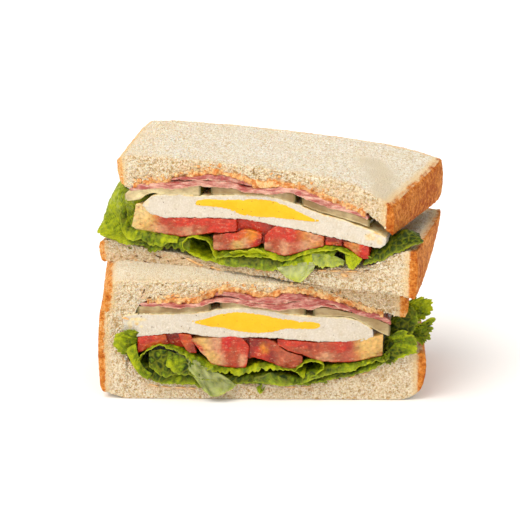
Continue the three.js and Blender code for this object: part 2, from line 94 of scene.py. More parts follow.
LOWER = {
    "bread_bottom": dict(
        low=[(-59, 2.6), (-54.5, 1.4), (-50, 0), (60, 0)],
        high=[
            (-60, 33.8), (-53, 33.9), (-51, 33.4), (-50.4, 31), (-50.2, 25), (-49.8, 18), (-47, 12.2),
            (-43.4, 9), (-38, 6.6), (-30, 6.2), (-22, 5.8), (-14, 6), (0, 6.4), (14, 6.1), (20, 6.8),
            (26, 8.5), (33, 10), (38, 11.6), (43, 13.8), (46.7, 15.6), (52, 18.2), (58, 19.4),
        ],
        left=(-59.4, -60.2), right=(59.3, 60), lean=(-0.3, 0), round=(2, 10), rim=(0, 1), back_top=20,
        bake=(0.45, 0.72),
    ),
    "bread_top": dict(
        low=[
            (-56, 33), (-52, 32.8), (-50, 32.6), (-47.6, 32.8), (-46.6, 33.2), (-45.8, 34.8),
            (-44.8, 36.8), (-43, 37.8), (-40, 38.5), (-30, 38.7), (-24.5, 39), (-21.5, 40.6), (-18, 42),
            (-12, 43), (-6.4, 42.4), (-0.5, 41.2), (4, 41.6), (8.2, 42.9), (13.6, 43), (18, 42),
            (24.5, 40.6), (30, 39), (35.5, 36.8), (41, 35.2), (46.5, 33.4), (50, 32.4), (54, 32.4),
        ],
        high=[
            (-56, 45.4), (-50, 46), (-37, 45.8), (-26, 46), (-15, 45.8), (0, 45.2), (10, 44.9),
            (25, 44.4), (35, 44), (43, 43.2), (50, 41.6), (54, 40.4),
        ],
        left=(-56, -58.5), right=(52.6, 57), lean=(-2.6, 0.6), crown=1.9, back_foot=28,
        back_from=-47, bake=(0.42, 0.5),
    ),
    "ham": [
        dict(
            low=[
                (-17.5, 40.1), (-12, 40.6), (-6.4, 39.8), (-0.2, 38.5), (4.5, 38.4), (10, 39.2),
                (17.3, 38.9), (24.5, 38.1), (28.2, 36.8), (33.7, 35), (39, 32.9), (46.8, 29.4),
            ],
            high=[
                (-17.5, 41), (-12, 42), (-6.4, 41.3), (-0.2, 40.1), (4.5, 40.3), (8.2, 41.8),
                (13.6, 41.9), (17.3, 40.9), (24.5, 39.5), (30, 37.7), (35.5, 35.6), (41, 34),
                (46.8, 30.9),
            ],
        ),
        dict(
            low=[
                (-44.8, 36.2), (-37.5, 36.3), (-23, 36.9), (-17.3, 38.9), (-12, 38.4), (-3.8, 37.1),
                (4.5, 35.9), (10, 36.3), (17.3, 36.4), (22.7, 36.8), (28.2, 35.4), (32.5, 34.2),
            ],
            high=[
                (-44.8, 37.2), (-37.5, 37.6), (-24, 37.9), (-19, 39), (-12, 40), (-6.4, 39.2),
                (-0.2, 37.9), (4.5, 37.8), (10, 38.6), (17.3, 38.3), (24.5, 37.5), (28.2, 36.2),
                (32.5, 34.9),
            ],
        ),
    ],
    "pickles": [
        dict(
            low=[(-45.5, 33), (-39.3, 33.5), (-30, 33.7), (-24.7, 33.9), (-19, 35)],
            high=[(-45.5, 35.6), (-37.5, 35.8), (-30, 36), (-19, 36.8)],
        ),
        dict(
            low=[(-15.3, 35.6), (-8.2, 36), (-0.9, 35.4), (4.5, 34.5), (10, 33.7), (15.6, 33.3)],
            high=[(-15.3, 38.1), (-12, 37.9), (-3.8, 36.7), (4.5, 35.5), (10, 35.8), (15.6, 35.7)],
        ),
        dict(
            low=[(18.6, 33), (22.8, 32.8), (30, 32.9), (34, 32), (39.5, 28.8), (46.5, 25.2)],
            high=[(18.6, 35.4), (22.7, 35.4), (28.2, 34.4), (34, 33.2), (39, 32.2), (46.5, 28.9)],
        ),
    ],
    "white": dict(
        low=[
            (-50.8, 25.6), (-48, 24.6), (-41.3, 25), (-28.4, 26), (-19.3, 24.6), (-2.8, 24.4),
            (8.2, 23.9), (21, 23), (35, 23.2), (38.6, 23.7), (40.2, 24.8),
        ],
        high=[
            (-50.8, 32.4), (-46.7, 33), (-39.3, 33.1), (-24.7, 33.4), (-15.5, 35), (-8.2, 35.6),
            (-0.9, 35), (10, 33.2), (22.8, 32.2), (30, 32), (35, 30.8), (38.5, 28.8), (40.2, 27.4),
        ],
    ),
    "yolk": dict(
        low=[
            (-26.5, 29.9), (-23.6, 29.3), (-19.2, 28.2), (-13.7, 27.5), (-8.2, 26.2), (-5.3, 25.7),
            (-0.2, 25.7), (4.6, 26.5), (8.2, 27.5), (13.7, 27.4), (19, 27.6), (21.3, 28.4),
        ],
        high=[
            (-26.5, 30.5), (-22.8, 31), (-19.2, 32), (-15.5, 33.3), (-11.1, 34), (-4.6, 34.1),
            (-0.2, 33.2), (3.4, 32.5), (8.2, 31.7), (13.7, 30.9), (17.7, 30.6), (20.4, 29.9),
            (21.3, 29.1),
        ],
    ),
    "tomatoes": [
        dict(
            low=[
                (5.4, 21.6), (8.2, 20.2), (13.7, 18.1), (21, 15.6), (28.4, 15), (35.7, 15.8), (44, 17.6),
            ],
            high=[(5.4, 23.3), (13.7, 22.6), (21, 22.3), (32, 22.8), (37.4, 24), (44, 25.4)],
            upper=[
                (0, "deep"), (0.06, "red"), (0.2, "red"), (0.45, "blush"), (0.62, "red"), (0.7, "blush"),
                (0.8, "cream"), (1, "cream"),
            ],
            lower=[
                (0, "red"), (0.15, "blush"), (0.3, "pink"), (0.45, "pale"), (0.58, "pink"), (0.7, "pink"),
                (0.77, "peach"), (0.83, "cream"), (1, "cream"),
            ],
            spots=[(0.36, 0.5, 2, "blush"), (0.3, 0.7, 1.2, "deep")],
        ),
        dict(
            low=[(-4.6, 17.2), (1.3, 15.5), (6, 13.4), (10.8, 12), (14.6, 14.8)],
            high=[(-4.6, 23.7), (4.2, 22.6), (7.5, 19.3), (14.6, 16.6)],
            upper=[(0, "deep"), (0.25, "deep"), (0.5, "blush"), (0.7, "pink"), (1, "blush")],
            lower=[(0, "deep"), (0.2, "red"), (0.4, "deep"), (0.55, "pink"), (0.8, "blush"), (1, "pink")],
            spots=[(0.27, 0.55, 1.6, "gel")],
        ),
        dict(
            slant=(-5, 1.5),
            low=[(-24, 17.4), (-19.3, 14.2), (-12, 12.8), (-5.4, 12.8)],
            high=[(-24, 23.3), (-17.4, 23.8), (-8.3, 23.8), (-5.4, 20)],
            upper=[
                (0, "blush"), (0.14, "cream"), (0.34, "pale"), (0.42, "pale"), (0.5, "red"), (0.8, "red"),
                (1, "red"),
            ],
            lower=[
                (0, "pale"), (0.3, "cream"), (0.5, "pale"), (0.62, "blush"), (0.8, "blush"),
                (0.9, "pale"), (1, "red"),
            ],
            spots=[(0.7, 0.42, 1.8, "blush"), (0.04, 0.6, 1.6, "red")],
        ),
        dict(
            slant=(-2, -2),
            low=[(-29.8, 20.6), (-27.5, 18.3), (-25.2, 18.4)],
            high=[(-29.8, 25.2), (-25.2, 24.8)],
            depth=30,
            upper=[(0, "red"), (0.6, "orange"), (1, "red")],
            lower=[(0, "orange"), (1, "deep")],
        ),
        dict(
            slant=(0, -1.5),
            low=[(-45.7, 18.2), (-41.4, 20), (-35, 21.8)],
            high=[(-45.7, 24), (-41.3, 24.4), (-35, 24.9)],
            upper=[(0, "red"), (0.5, "red"), (1, "orange")],
            lower=[(0, "red"), (0.4, "orange"), (0.7, "orange"), (1, "deep")],
        ),
        dict(
            low=[(-36.6, 20.4), (-32, 20), (-28, 20)], high=[(-36.6, 25.6), (-28, 25.6)], depth=20,
            set_back=1.6,
            upper=[(0, "deep"), (1, "deep")], lower=[(0, "deep"), (1, "red")],
        ),
        dict(
            low=[(-8, 16), (-4, 16), (0, 17)], high=[(-8, 25), (0, 25)], depth=20, set_back=1.4,
            upper=[(0, "deep"), (1, "deep")], lower=[(0, "deep"), (1, "deep")],
        ),
    ],
}

UPPER = {
    "bread_bottom": dict(
        low=[
            (-60, 46.4), (-54, 46.6), (-44, 47), (-38, 47.3), (-28, 47.6), (-20, 47.6), (-12, 47.3),
            (-1, 46.9), (6.5, 46.5), (18, 45.7), (29, 45.3), (37, 45.1), (48, 45.2), (54, 44.8),
            (61, 43.6),
        ],
        high=[
            (-60, 55), (-55.8, 55.7), (-48, 54), (-42, 53.5), (-36, 52.9), (-28.4, 52.4), (-20.6, 51.2),
            (-13.6, 50.3), (-5, 49.9), (6.3, 49.6), (13, 50), (17.7, 50.5), (25.3, 51.7), (32.8, 53),
            (40, 53.6), (44.7, 55.2), (49.4, 58), (55, 61), (61, 62.6),
        ],
        left=(-60, -60.5), right=(61, 57.5), lean=(1.2, 0.3), back_lean=(1, 5.5), sag=-1, back_top=61,
        bake=(0.2, 0.75),
        cut_radius=0.2,
    ),
    "bread_top": dict(
        low=[
            (-52, 76.9), (-49.8, 75.9), (-48.4, 75.4), (-47.2, 76.1), (-46, 77.2), (-44.4, 78),
            (-41.3, 78.5), (-36.6, 79.4), (-33.9, 80), (-31.5, 80.9), (-28, 82.2), (-20.3, 84.1),
            (-16.5, 85), (-11, 85.1), (-5, 83.8), (-1.3, 82.6), (3.3, 82), (8.2, 82.6), (12.7, 82.3),
            (17.6, 82.2), (21.3, 81.2), (25, 80.1), (30.7, 78.3), (36.2, 76.6), (40, 75.2), (43.7, 73.4),
            (46.6, 71.4), (49, 69), (52.5, 66.4),
        ],
        high=[
            (-52, 87.6), (-40, 88.2), (-20, 88.2), (-1, 87.7), (17.5, 86.7), (32, 85), (43.5, 82),
            (50, 79), (52.5, 78),
        ],
        left=(-52.4, -62), right=(52, 57.5), lean=(1.6, 0), back_rise=4, back_foot=68, bake=(-0.15, 0.82),
    ),
    "ham": [
        dict(
            low=[(-32, 79.9), (-28, 80.7), (-20.3, 82), (-10.8, 82.6), (-5, 81.3), (-0.5, 80.6)],
            high=[
                (-32, 80.4), (-28, 81.4), (-20.3, 83.2), (-16.5, 84.1), (-10.8, 84.2), (-5, 82.7),
                (-0.5, 81.4),
            ],
        ),
        dict(
            low=[
                (-48, 74.5), (-43.7, 75.5), (-39.8, 76.5), (-37, 77.2), (-30, 78), (-21.5, 79.3),
                (-10.8, 79.9), (-5, 79), (2.5, 79.1), (10, 79.6), (13.8, 79.8), (17.6, 78.9),
                (21.3, 77.8), (28.8, 75.8), (36.2, 74.1), (42.9, 71.9),
            ],
            high=[
                (-48, 75.2), (-46, 76.4), (-44.4, 77.2), (-41.3, 78), (-36.6, 79), (-33.5, 79.5),
                (-28, 80.2), (-20.3, 81.5), (-10.8, 82), (-5, 80.8), (-1, 80.1), (3.3, 80.7), (8.2, 81.5),
                (12.7, 81.3), (17.6, 81.1), (22, 80), (25, 79), (30.7, 77.2), (36.2, 75.4), (42.9, 72.9),
            ],
        ),
    ],
    "pickles": [
        dict(
            low=[
                (-50, 71.6), (-48.5, 71), (-43.7, 72.2), (-41.4, 74), (-39, 74.9), (-37.4, 75.1),
                (-35.9, 74.7), (-30, 75.1), (-20.2, 75.5),
            ],
            high=[
                (-50, 72.6), (-48, 74.2), (-43.7, 75.2), (-39.8, 76.2), (-37, 76.9), (-30, 77.7),
                (-21.6, 79), (-20.2, 79.1),
            ],
        ),
        dict(
            low=[(-16, 76.2), (-7, 77.2), (0.6, 77.6), (8.2, 77.5), (13.8, 76.2), (15.8, 75.8)],
            high=[(-16, 78.9), (-8.9, 78.7), (-5, 78.5), (2.5, 78.6), (10, 79.1), (15.8, 78.6)],
        ),
        dict(
            low=[(18.4, 75.4), (25, 73.6), (32.6, 72.1), (40, 70.5), (43.5, 69.4)],
            high=[(18.4, 78), (21.3, 77.2), (28.8, 75.3), (36.2, 73.6), (43.5, 71.2)],
        ),
    ],
    "white": dict(
        low=[
            (-42.8, 68), (-42.2, 67.5), (-40, 66.7), (-38, 66), (-34, 65.8), (-28, 66.4), (-16.6, 67.2),
            (-8.9, 67.8), (-3, 67.9), (2.5, 67.4), (8.2, 66.8), (14, 66.2), (19.5, 65.6), (25.2, 64.7),
            (32.6, 63.9), (38.2, 63), (46.8, 61.9), (49.3, 63.2),
        ],
        high=[
            (-42.8, 69.8), (-41.8, 70.8), (-40.6, 71.9), (-39, 73.3), (-36, 74.1), (-28, 74.8),
            (-20.4, 75.1), (-7, 76.6), (0.6, 77), (8.2, 76.9), (13.8, 75.7), (19.5, 74.2), (25, 72.3),
            (32.6, 70.9), (40, 69), (46, 67.2), (49.3, 65.8),
        ],
    ),
    "yolk": dict(
        low=[
            (-22.4, 71.6), (-20.4, 71.3), (-16.6, 71.2), (-12.7, 71.1), (-8.9, 70.3), (-3.2, 68.9),
            (4.4, 69), (13.9, 69.1), (22.1, 69.2), (26, 69.6),
        ],
        high=[
            (-22.4, 72.6), (-21.2, 73.4), (-17.7, 74.2), (-12.7, 74.5), (-5.1, 75.3), (3.3, 76),
            (7.1, 75.8), (12, 74.7), (15.7, 73.3), (19.5, 71.6), (23.3, 70.4), (26, 70),
        ],
    ),
    "tomatoes": [
        dict(
            slant=(2, 0),
            low=[
                (-46.4, 60.2), (-44, 59.8), (-42, 59.7), (-36, 59.4), (-30, 59.2), (-24, 59.8),
                (-16.6, 61.6), (-6.5, 63.2),
            ],
            high=[
                (-46.4, 69.6), (-44, 69.8), (-42.4, 68.6), (-40.6, 67), (-38, 66.1), (-34, 65.5),
                (-28, 65.9), (-17, 66.6), (-6.5, 67.3),
            ],
            upper=[
                (0, "butter"), (0.1, "butter"), (0.17, "cream"), (0.22, "peach"), (0.28, "blush"),
                (0.45, "red"), (0.62, "red"), (0.8, "red"), (1, "red"),
            ],
            lower=[
                (0, "butter"), (0.12, "cream"), (0.26, "pale"), (0.4, "pink"), (0.55, "pale"),
                (0.7, "blush"), (0.76, "red"), (1, "red"),
            ],
            spots=[(0.36, 0.5, 1.6, "blush"), (0.6, 0.4, 1.4, "blush")],
        ),
        dict(
            low=[(-15.5, 55), (-7, 56.1), (0.6, 57.9), (3, 59.4)],
            high=[(-15.5, 60.4), (-10, 61.6), (-6, 62.4), (-3.5, 63.6), (3, 62.6)],
            upper=[(0, "pink"), (0.2, "blush"), (0.4, "red"), (0.6, "orange"), (0.8, "gel"), (1, "red")],
            lower=[(0, "pale"), (0.3, "pink"), (0.5, "cream"), (0.7, "pale"), (0.85, "red"), (1, "deep")],
            spots=[(0.78, 0.62, 1.8, "gel"), (0.3, 0.55, 1.4, "blush")],
        ),
        dict(
            low=[(4.2, 57), (12, 55.8), (21.5, 59), (26.6, 60.6)],
            high=[(4.2, 62), (8.2, 66), (16.5, 65.2), (26.6, 63.8)],
            upper=[
                (0, "red"), (0.3, "red"), (0.5, "red"), (0.58, "orange"), (0.7, "peach"), (0.85, "pale"),
                (1, "orange"),
            ],
            lower=[
                (0, "pale"), (0.2, "pink"), (0.35, "pale"), (0.5, "pink"), (0.7, "pale"), (0.9, "peach"),
                (1, "orange"),
            ],
            spots=[(0.18, 0.36, 1.4, "blush")],
        ),
        dict(
            low=[(27.4, 61.1), (33.2, 61.3)],
            high=[(27.4, 63.8), (33.2, 63.2)],
            depth=30,
            upper=[(0, "deep"), (1, "deep")],
            lower=[(0, "red"), (0.5, "orange"), (1, "deep")],
        ),
        dict(
            low=[(34, 61.3), (36.4, 60.2), (40.2, 57.8), (43.3, 57.2)],
            high=[(34, 62.9), (38.2, 62.3), (43.3, 61.6)],
            upper=[(0, "orange"), (0.5, "peach"), (0.75, "red"), (1, "red")],
            lower=[(0, "orange"), (0.4, "peach"), (0.7, "red"), (1, "red")],
        ),
        dict(
            low=[(-12, 59.4), (-4, 60), (4, 59), (9, 60)], high=[(-12, 66.6), (-4, 67.6), (9, 67)],
            depth=20, set_back=1.4,
            upper=[(0, "deep"), (0.5, "red"), (1, "deep")],
            lower=[(0, "deep"), (0.6, "deep"), (1, "red")],
        ),
        dict(
            low=[(22, 60.8), (30, 60.2), (36, 60.2)], high=[(22, 65), (36, 63.6)], depth=20, set_back=1.4,
            upper=[(0, "orange"), (1, "deep")], lower=[(0, "deep"), (1, "deep")],
        ),
    ],
}

HALVES = {"lower": LOWER, "upper": UPPER}

# ---- Curves and grids ----


def mix(a, b, t):
    return a + (b - a) * t


def hump(t):
    """0 at both ends and 1 half way."""
    return 4 * t * (1 - t)


def ease(low, high, x):
    """0 up to low, 1 from high, smooth between."""
    t = np.clip((x - low) / (high - low), 0, 1)
    return t * t * (3 - 2 * t)


def smooth_through(knots, values):
    """A smooth curve through values at rising knots, level past both ends."""
    knots, values = np.asarray(knots, float), np.asarray(values, float)
    last = len(knots) - 1
    before, after = np.maximum(np.arange(last + 1) - 1, 0), np.minimum(np.arange(last + 1) + 1, last)
    run = (knots[after] - knots[before]).reshape([-1] + [1] * (values.ndim - 1))
    slope = (values[after] - values[before]) / run

    def at(x):
        x = np.clip(x, knots[0], knots[-1])
        i = np.clip(np.searchsorted(knots, x), 1, last)
        span = knots[i] - knots[i - 1]
        t = (x - knots[i - 1]) / span
        t, span = (k.reshape(k.shape + (1,) * (values.ndim - 1)) for k in (t, span))
        bend = span * t * (1 - t) * (slope[i - 1] * (1 - t) - slope[i] * t)
        return mix(values[i - 1], values[i], t * t * (3 - 2 * t)) + bend

    return at


def through(points):
    """A smooth height z(x) through (x, z) points."""
    xs, zs = zip(*points)
    return smooth_through(xs, zs)


def even_line(points, count):
    """count points evenly spaced along a smooth line through the given ones."""
    points = np.asarray(points, float)
    reach = np.r_[0, np.cumsum(np.linalg.norm(np.diff(points, axis=0), axis=1))]
    fine = smooth_through(reach, points)(np.linspace(0, reach[-1], 12 * len(points)))
    length = np.r_[0, np.cumsum(np.linalg.norm(np.diff(fine, axis=0), axis=1))]
    wanted = np.linspace(0, length[-1], count)
    return np.stack([np.interp(wanted, length, fine[:, k]) for k in range(points.shape[1])], 1)


def slab_mesh(name, columns, rows, rings):
    """A closed slab that fills the unit cube: a grid raised once, its upright edges cut into rings."""
    bm = bmesh.new()
    bmesh.ops.create_grid(bm, x_segments=columns, y_segments=rows, size=0.5)
    bmesh.ops.translate(bm, verts=bm.verts, vec=(0.5, 0.5, 0))
    raised = bmesh.ops.extrude_face_region(bm, geom=bm.faces[:], use_keep_orig=True)["geom"]
    bmesh.ops.translate(bm, verts=[v for v in raised if isinstance(v, bmesh.types.BMVert)], vec=(0, 0, 1))
    if rings > 1:
        upright = [e for e in bm.edges if abs(e.verts[0].co.z - e.verts[1].co.z) > 0.5]
        bmesh.ops.subdivide_edges(bm, edges=upright, cuts=rings - 1, use_grid_fill=True)
    bmesh.ops.recalc_face_normals(bm, faces=bm.faces)
    mesh = bpy.data.meshes.new(name)
    bm.to_mesh(mesh)
    bm.free()
    return mesh


def coordinates(mesh):
    flat = np.zeros(len(mesh.vertices) * 3)
    mesh.vertices.foreach_get("co", flat)
    return flat.reshape(-1, 3)


def reshape(mesh, points):
    mesh.vertices.foreach_set("co", np.ascontiguousarray(points, float).ravel())
    mesh.update()


def normals(mesh):
    flat = np.zeros(len(mesh.vertices) * 3)
    mesh.vertices.foreach_get("normal", flat)
    return flat.reshape(-1, 3)


def pushed(mesh, points, relief):
    """The points, each moved out of the surface by its relief."""
    reshape(mesh, points)
    return points + normals(mesh) * relief[:, None]


def face_out(mesh):
    """Turns a mesh's faces outwards, after a shape that mirrored its slab."""
    bm = bmesh.new()
    bm.from_mesh(mesh)
    bmesh.ops.recalc_face_normals(bm, faces=bm.faces)
    bm.to_mesh(mesh)
    bm.free()
    mesh.update()


def value_layers(mesh, **layers):
    """Stores a value from 0 to 1 at each point, under each name, for the materials."""
    for name, values in layers.items():
        layer = mesh.attributes.new(name, "FLOAT", "POINT")
        layer.data.foreach_set("value", np.clip(values, 0, 1).astype(np.float32))


def colour_layer(mesh, name, colours):
    layer = mesh.attributes.new(name, "FLOAT_COLOR", "POINT")
    full = np.concatenate([colours, np.ones((len(colours), 1))], 1)
    layer.data.foreach_set("color", full.astype(np.float32).ravel())


def finish_piece(half, mesh, points, material, nodes=()):
    """Gives a mesh its last points, in the shared frame, and makes it one piece of the sandwich."""
    reshape(mesh, in_frame(half, points))
    for polygon in mesh.polygons:
        polygon.use_smooth = True
    mesh.materials.append(material)
    made = bpy.data.objects.new(mesh.name, mesh)
    bpy.context.scene.collection.objects.link(made)
    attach(made, "root")
    if nodes:
        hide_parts(*nodes)
    return made


# ---- Grain: what noise does at one point, in millimetres ----


def grain(points, size, seed=0.0):
    """Soft noise from -1 to 1 with lumps of the given size."""
    shift = Vector((seed * 17.3, seed * 7.7, seed * 3.1))
    return np.array([noise.noise(Vector(p) / size + shift) for p in points])


def bubbles(points, size, seed=0.0, least=0.15, most=0.62):
    """Round pits of uneven width: 0 on the walls between them, 1 in the middle of each."""
    shift = Vector((seed * 11.9, seed * 5.3, seed * 23.7))
    depth = np.zeros(len(points))
    for i, p in enumerate(points):
        distances, centres = noise.voronoi(Vector(p) / size + shift)
        reach = mix(least, most, noise.cell(centres[0] * 9.7))
        depth[i] = max(0.0, 1 - (distances[0] / reach) ** 2)
    return depth


# ---- Materials ----


def tint(code):
    """A linear colour from a hex code, as a colour picker shows it."""
    parts = [int(code[i : i + 2], 16) / 255 for i in (0, 2, 4)]
    return tuple(p / 12.92 if p <= 0.04045 else ((p + 0.055) / 1.055) ** 2.4 for p in parts)


TONES = {
    "red": tint("c63010"),
    "deep": tint("8c1a04"),
    "orange": tint("c65514"),
    "gel": tint("dc8210"),
    "pink": tint("b85c3a"),
    "blush": tint("b24722"),
    "peach": tint("d08642"),
    "pale": tint("d2946a"),
    "cream": tint("deb062"),
    "butter": tint("e8c884"),
}


class Tree:
    """The nodes of one material, added one after another."""

    def __init__(self, name):
        self.material = bpy.data.materials.new(name)
        self.material.use_nodes = True
        self.nodes = self.material.node_tree.nodes
        self.links = self.material.node_tree.links
        self.shader = self.nodes["Principled BSDF"]

    def set(self, node, socket, value):
        target = node.inputs[socket]
        if isinstance(value, bpy.types.NodeSocket):
            self.links.new(value, target)
        elif target.type == "RGBA" and len(value) == 3:
            target.default_value = (*value, 1)
        else:
            target.default_value = value

    def add(self, kind, sockets=(), **settings):
        node = self.nodes.new(kind)
        for key, value in settings.items():
            setattr(node, key, value)
        for socket, value in dict(sockets).items():
            self.set(node, socket, value)
        return node

    def place(self, scale=(1, 1, 1), turn=(0, 0, 0)):
        """Object coordinates in metres, stretched and turned."""
        source = self.add("ShaderNodeTexCoord").outputs["Object"]
        sockets = {"Vector": source, "Scale": scale, "Rotation": turn}
        return self.add("ShaderNodeMapping", sockets).outputs[0]

    def noise(self, scale, detail=3.0, rough=0.55, vector=None):
        sockets = {"Scale": scale, "Detail": detail, "Roughness": rough}
        sockets["Vector"] = vector or self.place()
        return self.add("ShaderNodeTexNoise", sockets).outputs["Fac"]

    def cells(self, scale):
        sockets = {"Scale": scale, "Vector": self.place()}
        return self.add("ShaderNodeTexVoronoi", sockets).outputs["Distance"]

    def layer(self, name, output="Fac"):
        return self.add("ShaderNodeAttribute", attribute_name=name).outputs[output]

    def range(self, value, low, high, to_low=0.0, to_high=1.0):
        sockets = {"Value": value, "From Min": low, "From Max": high, "To Min": to_low, "To Max": to_high}
        return self.add("ShaderNodeMapRange", sockets).outputs["Result"]

    def plus(self, a, b):
        return self.add("ShaderNodeMath", {0: a, 1: b}, operation="ADD").outputs[0]

    def times(self, a, b):
        return self.add("ShaderNodeMath", {0: a, 1: b}, operation="MULTIPLY").outputs[0]

    def blend(self, factor, a, b):
        """Colour a, or b where the factor is 1."""
        return self.add("ShaderNodeMix", {0: factor, 6: a, 7: b}, data_type="RGBA").outputs[2]

    def finish(self, colour, rough, relief=None, height=0.0002, soft=None, gloss=0.5, **constants):
        """Joins colour, roughness and fine relief to the shader; numbers go on its own sockets.

        soft is the share of light that goes through the surface, its reach for each colour, and the
        scale of that reach in metres.
        """
        self.set(self.shader, "Base Color", colour)
        self.set(self.shader, "Roughness", rough)
        if relief is not None:
            bump = self.add("ShaderNodeBump", {"Height": relief, "Distance": height, "Strength": 1.0})
            self.links.new(bump.outputs[0], self.shader.inputs["Normal"])
        if soft:
            constants.update(zip(("Subsurface_Weight", "Subsurface_Radius", "Subsurface_Scale"), soft))
        for socket, value in dict(constants, Specular_IOR_Level=gloss).items():
            self.shader.inputs[socket.replace("_", " ")].default_value = value
        return self.material


# ---- What a user may change ----


def colour_setting(name, description, code):
    return bpy.props.FloatVectorProperty(
        name=name, description=description, subtype="COLOR", min=0, max=1, default=tint(code)
    )


def length_setting(name, description, default, low=0.0, high=0.2):
    return bpy.props.FloatProperty(
        name=name, description=description, default=default, min=low, max=high, unit="LENGTH", precision=5
    )


def light_setting(name, description, default, unit="NONE"):
    return bpy.props.FloatProperty(name=name, description=description, default=default, min=0, unit=unit)


def angle_setting(name, description, degrees):
    return bpy.props.FloatProperty(
        name=name, description=description, default=math.radians(degrees), subtype="ANGLE"
    )


class SandwichSizes(bpy.types.PropertyGroup):
    half_depth: length_setting("Half depth", "From the cut face back to the crust", 0.058)
    filling_depth: length_setting("Filling depth", "How far the fillings run back from the cut", 0.045)
    yolk_depth: length_setting("Yolk depth", "Half of a yolk, cut through its middle", 0.026)
    crust: length_setting("Crust", "Thickness of the browned rim of a slice", 0.0016)
    crumb_cell: length_setting("Crumb bubble", "Width of the larger bubbles in the crumb", 0.0013)
    crumb_pit: length_setting("Crumb pit", "Depth of the larger bubbles on a cut", 0.0005)
    leaf: length_setting("Leaf", "Thickness of a lettuce leaf", 0.00045)


class SandwichColours(bpy.types.PropertyGroup):
    crumb: colour_setting("Crumb", "Light walls of the crumb at the cut", "fff1d6")
    crumb_top: colour_setting("Outside", "Light crumb on the outside of a slice", "fffaec")
    crumb_shade: colour_setting("Crumb pits", "Inside the crumb's bubbles", "c9a166")
    crust_pale: colour_setting("Pale crust", "Crust that hardly browned", "f9c684")
    crust_light: colour_setting("Light crust", "Crust that browned a little", "ee983e")
    crust_dark: colour_setting("Dark crust", "Crust that browned most", "b4500c")
    sauce: colour_setting("Sauce", "Orange dressing under the top slices", "edb06c")
    sauce_dark: colour_setting("Dark sauce", "Thick or browned dressing", "d8863c")
    ham: colour_setting("Ham", "Lean of the ham", "b0524a")
    ham_edge: colour_setting("Ham edge", "Pale cut edge of the ham", "e8bb9c")
    pickle: colour_setting("Pickle", "Flesh of the pickle slices", "947440")
    pickle_skin: colour_setting("Pickle skin", "Skin at their ends", "5a5010")
    egg_white: colour_setting("Egg white", "Set white at the cut", "d8cdbd")
    egg_brown: colour_setting("Egg edge", "Its fried upper edge", "e0b25a")
    yolk: colour_setting("Yolk", "Set yolk at the cut", "f9b60e")
    leaf_light: colour_setting("Light leaf", "Young, lit lettuce", "a8b00c")
    leaf_middle: colour_setting("Green leaf", "Lettuce between light and dark", "667a08")
    leaf_dark: colour_setting("Dark leaf", "Green outer lettuce", "263604")
    leaf_pale: colour_setting("Pale leaf", "Whitish ribs and inner leaf", "c9cc8c")


class SandwichStage(bpy.types.PropertyGroup):
    floor: colour_setting("Floor", "Plain surface under the sandwich", "fbfaf8")
    surround: light_setting("Surround", "Light from all round", 0.8)
    key: light_setting("Key light", "Soft sun from the upper left", 2.2)
    fill: light_setting("Fill light", "Soft light, front", 0.5, "POWER")
    azimuth: angle_setting("Azimuth", "Camera's turn round the sandwich", 1)
    elevation: angle_setting("Elevation", "Camera's angle above level", 17.5)
    distance: length_setting("Distance", "Camera to the sandwich", 0.9, 0.1, 10)
    view_width: length_setting("View width", "Width seen at the sandwich", 0.195, 0.01, 2)


# ---- Bread ----

CRUST_BULGE = 0.7  # how far a side wall swells at half its height
BULGE_REACH = 1.2  # how far in from the wall the swelling reaches
CORNER_DRAW = 0.03  # share by which a slice draws in at its back corners
RIM_DROP = 1.2  # how far the top falls towards the crust
OUTER_RADIUS = 0.8  # rounding of a slice's outer edges
INNER_RADIUS = 0.25  # rounding of its edges towards the filling
LEAN_REACH = 8.0  # how far in a leaning side draws the underside
BREAD_CELLS = (330, 88, 36)
# The middle of the smooth patch on the top slice, and its half width
PRESSED_LINE = ((36, 30), (40, 24), (46, 10), (51, 2), (52, -4))
PRESSED_WIDTH = 8.0
STAINS = {  # x, z and half widths of dressing soaked into a cut, and how much
    ("upper", "bread_bottom"): [
        (-46.3, 48.6, 2.6, 2.0, 1.0), (-34.5, 50.6, 2.4, 1.6, 0.8), (-39, 49.4, 7, 1.6, 0.35),
        (-20, 48.6, 7, 1.4, 0.5), (3.4, 48.9, 3, 0.8, 0.8), (33, 51.6, 11, 0.9, 0.75),
        (34.5, 50.2, 2.8, 1.4, 0.9), (-52.5, 48, 3.6, 2.6, 0.6), (-30, 49.6, 16, 2.6, 0.5),
        (-6, 48, 8, 1.2, 0.5),
    ],
    ("lower", "bread_top"): [
        (32, 41.4, 9, 2.2, 0.45), (26, 40.8, 2.4, 1.4, 0.9), (45, 38, 8, 2, 0.3),
        (-31, 39.6, 2.4, 1.6, 0.8), (-43.1, 41, 2, 2.4, 0.5), (-34.5, 39.6, 1.6, 1.2, 0.8),
        (-12, 44, 6, 1.6, 0.5), (16, 44, 6, 1.4, 0.5),
    ],
    ("lower", "bread_bottom"): [
        (-30, 4, 11, 0.9, 0.5), (-41.5, 5, 2.6, 1, 0.5), (8, 4.2, 9, 0.7, 0.35), (38, 11, 5, 1, 0.3),
    ],
    ("upper", "bread_top"): [
        (-38, 80.4, 4.4, 1.2, 0.6), (-24, 84.6, 4, 2.2, 0.8), (28, 81, 9, 2, 0.5),
        (40, 76.6, 4, 1.4, 0.7),
    ],
}


